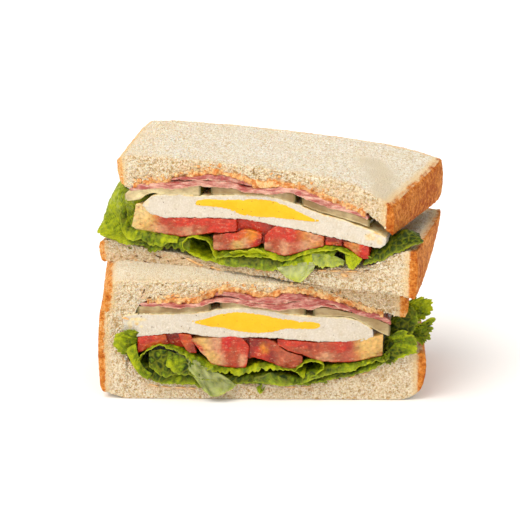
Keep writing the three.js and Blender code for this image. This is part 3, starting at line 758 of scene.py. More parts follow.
def soften(a, b, radius):
    """Points on two faces that meet at an edge, a and b in from it: how far each moves to round it."""
    near = (a < radius) & (b < radius) & (np.minimum(a, b) < 1e-6)
    angle = np.where(a > b, 0.25 * np.pi * (1 + a / radius), 0.25 * np.pi * (1 - b / radius))
    return (
        np.where(near, radius - radius * np.cos(angle) - a, 0),
        np.where(near, radius - radius * np.sin(angle) - b, 0),
    )


def slice_shape(s, u, v, w, half_depth, filling_above):
    """Where a slice's slab points go, and each one's distances from the cut, the crust and above."""
    z_low, z_high = through(s["low"]), through(s["high"])
    side = 2 * u - 1
    left, right = mix(*s["left"], v), mix(*s["right"], v)
    middle, width = (left + right) / 2, right - left
    x = middle + (mix(left, right, u) - middle) * (1 - CORNER_DRAW * v**10)
    to_side = width / 2 * (1 - np.abs(side))
    lean, back_lean = s.get("lean", (0, 0)), s.get("back_lean", s.get("lean", (0, 0)))
    lean = mix(np.where(side < 0, *lean), np.where(side < 0, *back_lean), v**1.8)
    x += np.sign(side) * CRUST_BULGE * hump(w) * np.exp(-((to_side / BULGE_REACH) ** 2))
    x -= np.sign(side) * lean * (1 - w) * np.clip(1 - to_side / LEAN_REACH, 0, 1) ** 2
    on_cut = mix(s["left"][0], s["right"][0], u)
    rim_share = np.where(side < 0, *s.get("rim", (1, 1)))
    rim = np.maximum(np.abs(side) ** 18, v**18) * RIM_DROP * rim_share
    right_end = np.maximum(0, side) ** 4
    bottom = np.maximum(0, z_low(on_cut)) - s.get("sag", 0) * hump(v) * right_end**4
    corner = np.where(side < 0, *s.get("round", (0.001, 0.001)))
    near = np.clip(1 - to_side / corner, 0, 1)
    bottom += 0.8 * corner * (1 - np.sqrt(1 - near**2))
    top = z_high(on_cut) - rim + s.get("back_rise", 0) * v * right_end
    top += s.get("crown", 0) * ease(0, 0.2, v)
    closing = ease(0.8, 1.0, v)
    foot_reach = ease(-2, 0, on_cut - s.get("back_from", -FAR))
    bottom = mix(bottom, np.minimum(bottom, s.get("back_foot", FAR)), closing * foot_reach)
    top = mix(top, np.maximum(top, s.get("back_top", -FAR)), closing)
    y = v * half_depth * (1 - CORNER_DRAW * np.abs(side) ** 8)
    to_back = half_depth - y
    y += CRUST_BULGE * hump(w) * np.exp(-((to_back / BULGE_REACH) ** 2)) * (v > 0.9)
    thick = top - bottom
    from_top, from_low = (1 - w) * thick, w * thick
    z = mix(bottom, top, w)
    above, below = (INNER_RADIUS, OUTER_RADIUS) if filling_above else (OUTER_RADIUS, INNER_RADIUS)
    for depth, sign, radius in ((from_top, 1, above), (from_low, -1, below)):
        for inward, along in ((y, "y"), (to_side, "x"), (to_back, "back")):
            rounding = s.get("cut_radius", radius) if along == "y" else radius
            moved, sunk = soften(np.maximum(inward, 0), depth, rounding)
            z -= sign * sunk
            if along == "x":
                x -= np.sign(side) * moved
            else:
                y += moved if along == "y" else -moved
    return np.stack([x, y, z], 1), y, to_side, to_back, from_top, from_low


def make_slice(name, half, part, sizes, material):
    s = HALVES[half][part]
    mesh = slab_mesh(name, *BREAD_CELLS)
    u, v, w = coordinates(mesh).T
    v = v**1.15
    points, to_cut, to_side, to_back, from_top, from_low = slice_shape(
        s, u, v, w, sizes.half_depth / MM, part == "bread_bottom"
    )
    reshape(mesh, points)
    out = normals(mesh)
    crust_width = sizes.crust / MM
    wander = 0.4 * grain(points, 2.4, 3) + 0.35 * grain(points, 0.9, 16)
    to_crust = np.minimum(to_side, to_back)
    on_cut = 1 - ease(0.0, 2.0, to_cut)
    band = np.where(to_back < to_side, 1.5, mix(0.9, 1.3, u))
    shown = crust_width * mix(band, mix(1.1, 1.6, u), on_cut)
    crust = 1 - ease(0.6 * shown, 1.4 * shown, to_crust + wander)
    on_rim = (from_top < 0.3) * (1 - on_cut) * (to_crust > 0.4)
    crust *= mix(1.0, 0.6 + 0.5 * grain(points, 3, 17), on_rim)
    toasted = 1 - ease(0.8 * shown, 2.4 * shown, to_crust + wander)
    cell = sizes.crumb_cell / MM
    big, small = bubbles(points, cell, 1), bubbles(points, 0.55 * cell, 2)
    coarse = bubbles(points, 2.3, 18, 0.0, 0.42)
    open_crumb = (1 - crust) * mix(0.8, 1.0, on_cut) * (1 - 0.45 * toasted)
    smooth = np.zeros(len(points))
    if (half, part) == ("upper", "bread_top"):
        smooth = pressed_patch(points) * (from_top < 0.6)
        warm = 0.3 * (1 - ease(-56, -34, points[:, 0])) * (from_top < 0.6)
        toasted = np.maximum(toasted, warm)
    strip = (from_top < 0.7) * (1.0 if (half, part) == ("lower", "bread_top") else 0.0) * (1 - toasted)
    open_crumb *= (1 - 0.7 * smooth) * (1 - 0.2 * strip)
    pit = sizes.crumb_pit / MM
    relief = -pit * open_crumb * (0.9 * big + 0.7 * small + 0.9 * on_cut * coarse)
    uneven = 0.35 * grain(points, 0.8, 6) + 0.35 * grain(points, 6, 7)
    relief += (1 - crust) * uneven * (1 - 0.7 * np.maximum(smooth, strip))
    blistered = 0.3 * bubbles(points, 1.6, 10, 0.05, 0.35)
    relief += crust * (0.2 * grain(points, 1.7, 8) + 0.16 * grain(points, 0.8, 9) - blistered)
    resting = part == "bread_bottom" and half == "lower"
    if resting:
        relief *= ease(0.2, 1.2, points[:, 2])
    points = points + out * relief[:, None]
    if resting:
        points[:, 2] = np.maximum(points[:, 2], 0)
    value_layers(
        mesh, crust=crust, toasted=toasted,
        # Painted shade: the crumb is darkened in the pits of its bubbles, where the relief sinks them.
        pore=open_crumb * np.maximum(0.6 * np.maximum(big, small), on_cut * coarse),
        # Crust browning from left to right: partly the crust's own browning, partly painted light and
        # shade, paler on the lit left and darker on the side turned from the key light.
        bake=0.25 + mix(*s["bake"], u) / 1.6 + 0.2 * grain(points, 9, 11), smooth=smooth, strip=strip,
        open=open_crumb,
    )
    near_cut = 1 - ease(0.2, 4.5, to_cut + 2.4 * grain(points, 3, 19) + 1.2 * grain(points, 1.1, 20))
    value_layers(
        mesh, cut=np.maximum(near_cut, ease(0.5, 3, from_top) * (to_crust < 2)),
        stain=stain_on(half, part, points, from_low, on_cut),
    )
    return finish_piece(half, mesh, points, material, [f"{half}_{part}"])


def pressed_patch(points):
    """Where fingers pressed the top slice smooth: 1 along a line, fading out unevenly."""
    line = even_line(PRESSED_LINE, 24)
    away = np.min(np.linalg.norm(points[:, None, :2] - line[None], axis=2), axis=1)
    uneven = 0.45 * grain(points, 5, 5) + 0.2 * grain(points, 1.4, 21)
    return 1 - ease(0.3, 1.25, away / PRESSED_WIDTH + uneven)


def stain_on(half, part, points, from_low, on_cut):
    """How much dressing has soaked into a slice at its cut."""
    patchy = 0.5 + 0.9 * grain(points, 2.6, 12) + 0.6 * grain(points, 1.0, 13)
    x, z = points[:, 0], points[:, 2]
    soaked = np.zeros(len(points))
    for cx, cz, rx, rz, amount in STAINS[(half, part)]:
        soaked = np.maximum(soaked, amount * np.exp(-(((x - cx) / rx) ** 2) - ((z - cz) / rz) ** 2))
    if part == "bread_top":
        reach = 2.2 + 2.4 * grain(points, 7, 14)
        along = ease(-40, -26, x) * (1 - ease(30, 44, x))
        near_filling = 1 - ease(0.3, 1.0, from_low / np.maximum(reach, 0.5))
        near_filling *= along * np.clip(patchy + 0.2, 0, 1)
        soaked = np.maximum(soaked * np.clip(patchy + 0.5, 0, 1), near_filling)
    else:
        soaked *= np.clip(patchy + 0.5, 0, 1)
    return soaked * on_cut


def bread_material(colours):
    t = Tree("toast bread")
    fine, coarse, walls = t.noise(2700, 2, 0.7), t.noise(1250, 3, 0.6), t.cells(1900)
    speckle = t.range(fine, 0.32, 0.68, -0.45, 0.55)
    speckle = t.plus(speckle, t.range(coarse, 0.35, 0.65, -0.5, 0.55))
    speckle = t.plus(speckle, t.range(walls, 0.1, 0.7, -0.15, 0.3))
    # The crumb is blended towards its shade colour in the bubble pits, as painted shade, and by a random
    # speckle of grain.
    pore = t.plus(t.layer("pore"), t.times(speckle, t.layer("open")))
    pore = t.plus(pore, 0.08)
    shade = t.blend(t.layer("cut"), tint("cfae78"), colours.crumb_shade)
    crumb = t.blend(pore, t.blend(t.layer("cut"), colours.crumb_top, colours.crumb), shade)
    crumb = t.blend(t.range(t.noise(140, 3), 0.35, 0.65, 0.0, 0.25), crumb, tint("ecd0a0"))
    crumb = t.blend(t.times(t.layer("strip"), 0.35), crumb, tint("f3dcb0"))
    crumb = t.blend(t.times(t.layer("smooth"), 0.85), crumb, tint("dccaaa"))
    patches = t.range(t.noise(330, 4, 0.7), 0.4, 0.6)
    stained = t.blend(patches, colours.sauce, colours.sauce_dark)
    stained = t.blend(t.range(coarse, 0.42, 0.58), stained, tint("f6deb0"))
    crumb = t.blend(t.times(t.layer("stain"), 0.9), crumb, stained)
    crumb = t.blend(t.times(t.layer("toasted"), 0.75), crumb, tint("f3cc8c"))
    spots = t.range(t.noise(520, 4, 0.7), 0.32, 0.68, -0.38, 0.38)
    flecks = t.range(fine, 0.3, 0.7, -0.16, 0.16)
    # The crust's browning ramp also holds painted shade: darker on the side turned from the key light,
    # paler on the lit side.
    blotch = t.plus(t.plus(t.layer("bake"), spots), flecks)
    crust = t.blend(t.range(blotch, 0.1, 0.5), colours.crust_pale, colours.crust_light)
    crust = t.blend(t.range(blotch, 0.45, 1.0), crust, colours.crust_dark)
    crust = t.blend(t.range(walls, 0.05, 0.3, 0.3, 0.0), crust, tint("8a3c08"))
    edge = t.plus(t.layer("crust"), t.range(fine, 0.3, 0.7, -0.2, 0.2))
    colour = t.blend(t.range(edge, 0.3, 0.8), crumb, crust)
    rough = t.range(t.layer("crust"), 0, 1, 0.92, 0.66)
    return t.finish(
        colour, rough, t.plus(fine, walls), 0.0006,
        soft=(0.25, (1.0, 0.65, 0.35), 0.0006), gloss=0.15,
    )


# ---- Layers between two curves ----


LAYER_GROWTH = 0.22  # how far a layer presses into the ones above and below it
FRONT_RADIUS = 0.12  # rounding of its edges at the cut


def layer_shape(s, u, v, w, depth, end_radius=0.8, swell=0.0, growth=LAYER_GROWTH):
    """A filling's slab points: between its curves, narrower towards the back, its ends rounded."""
    z_low, z_high = through(s["low"]), through(s["high"])
    x0, x1 = s["low"][0][0], s["low"][-1][0]
    narrowing = np.sqrt(1 - (v * 0.9) ** 4)
    x = (x0 + x1) / 2 + (u - 0.5) * (x1 - x0) * narrowing
    to_end = np.minimum(u, 1 - u) * (x1 - x0) * narrowing
    side = np.sign(u - 0.5)
    y = v * depth * (1 - 0.18 * (2 * u - 1) ** 4)
    bottom, top = z_low(x) - growth, z_high(x) + growth
    thick = top - bottom
    from_top, from_low = (1 - w) * thick, w * thick
    x += side * swell * hump(w) * np.exp(-((to_end / 0.9) ** 2))
    z = mix(bottom, top, w)
    for deep, sign in ((from_top, 1), (from_low, -1)):
        moved, sunk = soften(to_end, deep, end_radius)
        x -= side * moved
        z -= sign * sunk
        moved, sunk = soften(y, deep, FRONT_RADIUS)
        y += moved
        z -= sign * sunk
    return np.stack([x, y, z], 1), to_end, from_top, from_low


def layer_slab(name, s, depth, step, rings, row_power=1.6):
    """A layer's slab and its points in the unit cube, the rows closer together near the cut."""
    width = s["low"][-1][0] - s["low"][0][0]
    mesh = slab_mesh(name, max(8, round(width / step)), max(8, round(depth / (2.2 * step))), rings)
    u, v, w = coordinates(mesh).T
    return mesh, u, v**row_power, w


# Ham

HAM_DROOP = (0.9, 0.6)  # how far the front of each layer hangs down
HAM_REACH = 5.0  # over what depth it bends down


def make_ham(half, number, sizes, material):
    s = HALVES[half]["ham"][number]
    depth = sizes.filling_depth / MM
    mesh, u, v, w = layer_slab(f"{half}_ham_{number + 1}_sheet", s, depth, 0.35, 8)
    points, to_end, _, from_low = layer_shape(s, u, v, w, depth, 0.6, growth=0.06)
    seed = 20 + number + 5 * (half == "upper")
    near = np.clip(1 - points[:, 1] / HAM_REACH, 0, 1) ** 2 * ease(0, 14, to_end)
    flat = points * (1, 0, 0)
    points[:, 1] -= near * (1.0 + 1.2 * grain(flat, 5, seed) + 0.5 * grain(flat, 1.5, seed + 0.7))
    points[:, 2] -= near * HAM_DROOP[number] * (1 + 0.9 * grain(flat, 7, seed + 0.5))
    creases = 0.15 * grain(points * (1, 0.5, 1), 1.6, seed + 2)
    points[:, 2] += 0.3 * grain(points * (1, 1, 0.2), 3.5, seed + 1) + creases
    ragged = (1 - ease(0.0, 0.8, from_low)) * (1 - ease(0.0, 1.0, points[:, 1] + 1.5))
    points[:, 2] -= ragged * (0.35 * grain(flat, 1.3, seed + 6) + 0.2 * grain(flat, 0.6, seed + 7))
    ridges = 0.16 * grain(points * (0.35, 1, 2.4), 1.0, seed + 3) + 0.12 * grain(points, 0.8, seed + 8)
    points = pushed(mesh, points, ridges)
    front = 1 - ease(0.0, 1.5, points[:, 1] + 1.5)
    value_layers(mesh, rim=(1 - ease(0.05, 0.55, from_low + 0.25 * grain(flat, 3, seed + 9))) * front)
    # The lean value is partly the ham's own tone and partly painted shade: darker streaks stand for the
    # shaded slits between its folds.
    folds = 0.8 * grain(points, 5, seed + 4) + 1.1 * grain(points * (0.3, 1, 1.6), 1.3, seed + 5)
    value_layers(mesh, lean=0.45 + folds + 0.25 * (number == 0) + 0.2 * (half == "lower"))
    return finish_piece(half, mesh, points, material, [f"{half}_ham_{number + 1}"])


def ham_material(colours):
    t = Tree("sliced ham")
    fibres = t.noise(900, 4, 0.65, t.place((0.35, 1, 2.2)))
    grainy = t.noise(1500, 3, 0.6)
    # The lean layer gives the ham's own tone, with painted shade of the slits between its folds.
    lean = t.blend(t.layer("lean"), tint("e6b29c"), colours.ham)
    bands = t.noise(260, 3, 0.6, t.place((0.3, 1, 1.6)))
    lean = t.blend(t.range(bands, 0.5, 0.66, 0.0, 0.8), lean, tint("a0402f"))
    lean = t.blend(t.range(fibres, 0.54, 0.7, 0.0, 0.7), lean, tint("923024"))
    lean = t.blend(t.range(fibres, 0.46, 0.34, 0.0, 0.6), lean, tint("f0c8b2"))
    lean = t.blend(t.range(grainy, 0.58, 0.7, 0.0, 0.25), lean, tint("8c3424"))
    lean = t.blend(t.range(t.cells(900), 0.05, 0.2, 0.3, 0.0), lean, tint("f7dcc4"))
    colour = t.blend(t.times(t.layer("rim"), 0.85), lean, colours.ham_edge)
    return t.finish(
        colour, t.range(fibres, 0.3, 0.7, 0.26, 0.42), t.plus(fibres, grainy), 0.00035,
        soft=(0.35, (1.0, 0.35, 0.25), 0.001), gloss=0.5,
    )


# Pickles


def make_pickle(half, number, sizes, material):
    s = HALVES[half]["pickles"][number]
    depth = sizes.filling_depth / MM
    mesh, u, v, w = layer_slab(f"{half}_pickle_{number + 1}_slice", s, depth, 0.45, 8)
    points, to_end, _, from_low = layer_shape(s, u, v, w, depth, 0.3, 0.2, growth=0.4)
    seed = 40 + number + 7 * (half == "upper")
    points[:, 1] += 0.35 * grain(points * (1, 0, 0), 4, seed)
    points[:, 2] += 0.22 * grain(points * (1, 1, 0), 3, seed + 1)
    points = pushed(mesh, points, 0.1 * grain(points, 1.4, seed + 2))
    value_layers(mesh, skin=1 - ease(0.15, 0.9, to_end))
    pale = 0.1 + 0.5 * grain(points, 5, seed + 3) + 0.5 * (1 - ease(0.0, 0.7, from_low))
    value_layers(mesh, pale=pale + 0.7 * (half == "upper" and number == 0))
    return finish_piece(half, mesh, points, material, [f"{half}_pickle_{number + 1}"])


def pickle_material(colours):
    t = Tree("pickle slice")
    streaks = t.noise(420, 3, 0.6, t.place((1.0, 1, 1.8)))
    seeds = t.noise(1300, 2, 0.6)
    flesh = t.blend(t.layer("pale"), colours.pickle, tint("e6d4a2"))
    flesh = t.blend(t.range(streaks, 0.45, 0.65, 0.0, 0.35), flesh, tint("6d4c1c"))
    flesh = t.blend(t.range(seeds, 0.6, 0.75, 0.0, 0.12), flesh, tint("e8d8a0"))
    colour = t.blend(t.layer("skin"), flesh, colours.pickle_skin)
    return t.finish(colour, 0.14, streaks, 0.00008, soft=(0.5, (1.0, 0.85, 0.4), 0.002), gloss=0.55)


# Egg

FRIED = {  # x, z and half widths of browned places on the cut whites, and how much
    "lower": [
        (-45, 31, 3.4, 0.8, 0.9), (-48.4, 29, 1, 2, 0.6), (-46, 29.6, 1.2, 0.9, 0.8),
        (-44.4, 28.2, 0.7, 0.5, 1),
    ],
    "upper": [(44, 65.6, 2.4, 1.6, 0.7), (47.4, 64.4, 1.4, 1.4, 0.6), (-41, 70.6, 1, 1.6, 0.5)],
}


def make_white(half, sizes, material):
    s = HALVES[half]["white"]
    depth = sizes.filling_depth / MM
    mesh, u, v, w = layer_slab(f"{half}_egg_white_band", s, depth, 0.38, 24)
    points, to_end, from_top, from_low = layer_shape(s, u, v, w, depth, 0.5, 0.2)
    seed = 60 + 3 * (half == "upper")
    flat = points * (1, 0.4, 0)
    teeth = 0.3 * grain(flat, 1.0, seed) + 0.25 * grain(flat, 3, seed + 1)
    teeth += 0.15 * grain(flat, 0.55, seed + 8)
    points[:, 2] += (1 - ease(0.0, 1.0, from_low)) * teeth
    points[:, 2] += (1 - ease(0.0, 0.8, from_top)) * 0.2 * grain(flat, 1.5, seed + 2)
    ends = 1 - ease(0.0, 1.5, to_end)
    points[:, 0] += ends * np.sign(u - 0.5) * (0.45 * grain(points * (0, 0.3, 1), 1.8, seed + 6))
    pits = bubbles(points, 1.5, seed, 0.02, 0.25)
    scratches = grain(points * (1.6, 1, 0.35), 0.9, seed + 7)
    relief = 0.1 * grain(points, 1.0, seed + 3) - 0.25 * pits
    relief += 0.14 * grain(points, 6, seed + 4) + 0.07 * scratches
    points = pushed(mesh, points, relief)
    browned = 1 - ease(0.1, 0.6, from_top + 0.5 * grain(points, 3, seed + 5))
    x, z = points[:, 0], points[:, 2]
    for cx, cz, rx, rz, amount in FRIED[half]:
        reach = ((x - cx) / rx) ** 2 + ((z - cz) / rz) ** 2 + 0.8 * grain(points, 1.5, seed + 9)
        browned = np.maximum(browned, amount * (1 - ease(0.3, 1.2, reach)))
    # Painted shade: the white is darkened in its sunken pits; the scratch streaks are darkened as a mark
    # of their own.
    value_layers(mesh, browned=browned, pit=np.maximum(pits, np.clip(scratches - 0.25, 0, 1)))
    return finish_piece(half, mesh, points, material, [f"{half}_egg_white"])


def white_material(colours):
    t = Tree("egg white")
    soft, fine = t.noise(260, 4), t.noise(1500, 3, 0.65)
    white = t.blend(t.range(soft, 0.35, 0.65, 0.0, 0.4), colours.egg_white, tint("cbbc9e"))
    white = t.blend(t.range(fine, 0.3, 0.5, 0.6, 0.0), white, tint("efe6d8"))
    white = t.blend(t.range(fine, 0.6, 0.72, 0.0, 0.5), white, tint("b8a680"))
    # Darker in the pits, as painted shade, and along the scratch streaks.
    white = t.blend(t.times(t.layer("pit"), 0.5), white, tint("b09a70"))
    fried = t.blend(t.range(t.noise(520, 3), 0.45, 0.65), tint("eedca6"), colours.egg_brown)
    colour = t.blend(t.times(t.layer("browned"), 0.9), white, fried)
    return t.finish(
        colour, t.range(soft, 0.3, 0.7, 0.35, 0.5), fine, 0.0003,
        soft=(0.35, (1.0, 0.8, 0.6), 0.0012), gloss=0.35,
    )


YOLK_STANDS_OUT = 0.22  # how far the yolk's cut face swells out of the white's


def make_yolk(half, sizes, material):
    s = HALVES[half]["yolk"]
    x0, x1 = s["low"][0][0], s["low"][-1][0]
    mesh = slab_mesh(f"{half}_egg_yolk_core", round((x1 - x0) / 0.4), 26, 14)
    u, v, w = coordinates(mesh).T
    z_low, z_high = through(s["low"]), through(s["high"])
    narrowing = np.sqrt(1 - (v * 0.93) ** 2)
    x = (x0 + x1) / 2 + (u - 0.5) * (x1 - x0) * narrowing
    level, reach = (z_low(x) + z_high(x)) / 2, (z_high(x) - z_low(x)) / 2 * (0.25 + 0.75 * narrowing)
    across = np.abs(2 * w - 1)
    inner = np.clip(1 - np.maximum(np.abs(2 * u - 1) ** 6, across**3), 0, 1)
    y = v * sizes.yolk_depth / MM - (v < 1e-6) * (YOLK_STANDS_OUT * np.sqrt(inner) - 0.12 * (1 - inner))
    points = np.stack([x, y, level + (2 * w - 1) * reach], 1)
    seed = 70 + (half == "upper")
    points[:, 2] += 0.15 * grain(points * (1, 0.5, 0), 2.2, seed) * across
    relief = 0.06 * grain(points, 0.9, seed + 1) - 0.12 * bubbles(points, 2.4, seed, 0.02, 0.16)
    points = pushed(mesh, points, relief)
    value_layers(mesh, rim=1 - inner**0.5)
    return finish_piece(half, mesh, points, material, [f"{half}_egg_yolk"])


def yolk_material(colours):
    t = Tree("egg yolk")
    crumbly = t.noise(1300, 4, 0.7)
    colour = t.blend(t.range(t.noise(200, 2), 0.35, 0.65, 0.0, 0.4), colours.yolk, tint("ffcb2e"))
    colour = t.blend(t.range(crumbly, 0.6, 0.72, 0.0, 0.6), colour, tint("e8a008"))
    colour = t.blend(t.times(t.layer("rim"), 0.3), colour, tint("f7d45c"))
    return t.finish(colour, 0.5, crumbly, 0.0003, soft=(0.3, (1.0, 0.7, 0.15), 0.001), gloss=0.25)


# Tomato


def toned(u, w, s, width):
    """Flesh at places (u, w) of a cut face, blended from the tones along its two edges and its spots."""
    edges = []
    for side in ("lower", "upper"):
        places, names = zip(*s[side])
        edges.append(smooth_through(places, [TONES[name] for name in names])(u))
    tones = mix(*edges, ease(0.4, 0.62, w)[:, None])
    for place_u, place_w, reach, name in s.get("spots", ()):
        away = ((u - place_u) * width / reach) ** 2 + ((w - place_w) * 6 / reach) ** 2
        tones = mix(tones, np.array(TONES[name]), np.exp(-(away**1.5))[:, None])
    return tones


def make_tomato(half, number, sizes, material):
    s = HALVES[half]["tomatoes"][number]
    depth = s.get("depth", sizes.filling_depth / MM)
    width = s["low"][-1][0] - s["low"][0][0]
    mesh, u, v, w = layer_slab(f"{half}_tomato_{number + 1}_wedge", s, depth, 0.4, 16)
    points, to_end, _, from_low = layer_shape(s, u, v, w, depth, 0.15, 0.05)
    seed = 80 + number + 9 * (half == "upper")
    wander = 0.8 * grain(points, 2.2, seed) + 0.5 * grain(points, 0.8, seed + 7)
    tones = toned(np.clip(u + wander / width, 0, 1), np.clip(w + 0.16 * wander, 0, 1), s, width)
    points[:, 1] += 0.5 * grain(points * (1, 0, 1), 6, seed + 1) * (1 - v) + s.get("set_back", 0)
    reach = np.exp(-((to_end / 3.5) ** 2))
    points[:, 0] += (w - 0.5) * np.where(u < 0.5, *s.get("slant", (0, 0))) * reach
    fibres = grain(points * (0.7, 1, 1.2), 1.1, seed + 2)
    relief = 0.16 * fibres + 0.2 * grain(points, 3.2, seed + 3) + 0.08 * grain(points, 0.8, seed + 6)
    points = pushed(mesh, points, relief)
    skin = 1 - ease(0.15, 0.55, from_low + 0.2 * fibres)
    tones = mix(tones, np.array(TONES["red"]), (0.75 * skin)[:, None])
    tones *= (0.92 + 0.3 * fibres + 0.22 * grain(points, 0.7, seed + 5))[:, None]
    colour_layer(mesh, "flesh", np.clip(tones, 0, 1))
    value_layers(mesh, skin=skin)
    nodes = [] if "set_back" in s else [f"{half}_tomato_{number + 1}"]
    return finish_piece(half, mesh, points, material, nodes)


def tomato_material():
    t = Tree("cut tomato")
    fibres = t.noise(800, 4, 0.65, t.place((0.7, 1, 1.2)))
    fine = t.noise(1700, 3, 0.6)
    flesh = t.layer("flesh", "Color")
    colour = t.blend(t.range(fibres, 0.56, 0.74, 0.0, 0.5), flesh, tint("f0b98a"))
    colour = t.blend(t.range(fibres, 0.45, 0.3, 0.0, 0.6), colour, tint("a82408"))
    colour = t.blend(t.range(fine, 0.64, 0.74, 0.0, 0.35), colour, tint("f7d2a8"))
    return t.finish(
        colour, t.range(fibres, 0.3, 0.7, 0.14, 0.3), t.plus(fibres, fine), 0.0003,
        soft=(0.35, (1.0, 0.25, 0.1), 0.0016), gloss=0.4,
        Coat_Weight=0.15, Coat_Roughness=0.12,
    )


# ---- Sauce ----

# Where dressing fills the gap under a top slice, and how far back it runs
SAUCE_SPREAD = {"lower": (-42, 44), "upper": (-46, 42)}
SAUCE_DEPTH = 9.0


def ham_top(half, x):
    """Height of the highest ham layer at x, or of the lower one past its ends."""
    heights = []
    for layer in HALVES[half]["ham"]:
        start, end = layer["high"][0][0], layer["high"][-1][0]
        heights.append(np.where((x > start) & (x < end), through(layer["high"])(x), -FAR))
    return np.maximum.reduce(heights)


def make_sauce(half, material):
    low, high = SAUCE_SPREAD[half]
    x = np.linspace(low, high, 60)
    under = through(HALVES[half]["bread_top"]["low"])(x) + 0.4
    over = np.maximum(ham_top(half, x), under - 2.4) - 0.3
    s = dict(low=list(zip(x, over)), high=list(zip(x, under)))
    mesh, u, v, w = layer_slab(f"{half}_sauce", s, SAUCE_DEPTH, 0.35, 6, 1)
    points, *_ = layer_shape(s, u, v, w, SAUCE_DEPTH, 0.3)
    seed = 100 + 3 * (half == "upper")
    flat = points * (1, 0, 0.6)
    lumpy = 0.1 + 1.1 * grain(flat, 3.2, seed) + 0.6 * grain(flat, 1.0, seed + 1)
    points[:, 1] -= (1 - v) ** 3 * 1.4 * np.clip(lumpy, -1.2, 1.1)
    points = pushed(mesh, points, 0.3 * grain(points, 0.9, seed + 2) + 0.15 * grain(points, 0.5, seed + 3))
    return finish_piece(half, mesh, points, material)


def lumps(name, half, places, material, seed, facets=2):
    """One mesh of small uneven lumps; each place is x, y, z, its half widths and its turn."""
    bm = bmesh.new()
    for x, y, z, rx, ry, rz, turn in places:
        turned = Matrix.Rotation(turn, 4, "Y") @ Matrix.Diagonal((rx, ry, rz, 1))
        frame_at = Matrix.Translation((x, y, z)) @ turned
        bmesh.ops.create_icosphere(bm, subdivisions=facets, radius=1, matrix=frame_at)
    mesh = bpy.data.meshes.new(name)
    bm.to_mesh(mesh)
    bm.free()
    points = coordinates(mesh)
    size = np.repeat([min(p[3:6]) for p in places], len(points) // len(places))
    points += normals(mesh) * (0.45 * size * grain(points, 1.0, seed))[:, None]
    return finish_piece(half, mesh, points, material)


def make_sauce_dabs(half, material):
    """Dabs of dressing smeared on the cut face, just above the ham."""
    draw = random.Random(31 if half == "lower" else 37)
    under = through(HALVES[half]["bread_top"]["low"])
    low, high = SAUCE_SPREAD[half]
    places = []
    for _ in range(90):
        x = draw.uniform(low, high)
        climb = draw.random() ** 2 * (3.2 if half == "upper" else 2.4)
        if grain(np.array([[x, 0, 0]]), 6, 110)[0] < draw.uniform(-0.5, 0.4):
            continue
        wide = draw.uniform(0.35, 1.3) * (1 - 0.15 * climb)
        thick, high_share, turn = draw.uniform(0.15, 0.4), draw.uniform(0.4, 0.9), draw.uniform(-1, 1)
        z = float(under(x)) + 0.2 + climb
        places.append((x, 0.05, z, wide, thick, wide * high_share, turn))
    return lumps(f"{half}_sauce_dabs", half, places, material, 33)


def sauce_material(colours):
    t = Tree("orange dressing")
    patches, crumbs, fine = t.noise(260, 4, 0.65), t.noise(900, 3, 0.6), t.noise(2300, 2, 0.6)
    colour = t.blend(t.range(patches, 0.4, 0.6), tint("f3c88c"), colours.sauce)
    colour = t.blend(t.range(t.noise(430, 3), 0.46, 0.6), colour, colours.sauce_dark)
    colour = t.blend(t.range(crumbs, 0.56, 0.66, 0.0, 0.6), colour, tint("fae0ac"))
    # Painted shade: dark brown in the hollows between the crumbs of the bump pattern.
    colour = t.blend(t.range(crumbs, 0.45, 0.33, 0.0, 0.55), colour, tint("a8541c"))
    colour = t.blend(t.range(fine, 0.6, 0.7, 0.0, 0.4), colour, tint("b87834"))
    return t.finish(
        colour, t.range(patches, 0.3, 0.7, 0.3, 0.6), t.plus(crumbs, fine), 0.0004,
        soft=(0.35, (1.0, 0.6, 0.3), 0.001), gloss=0.35,
    )


# ---- Lettuce ----
# A leaf is a sheet through lines of points (x, y, z), its free edge first.


def rows(xs, *levels):
    """Lines of points (x, y, z) that share their xs: each level is a y and the line's zs."""
    return [[(x, y, z) for x, z in zip(xs, zs)] for y, zs in levels]
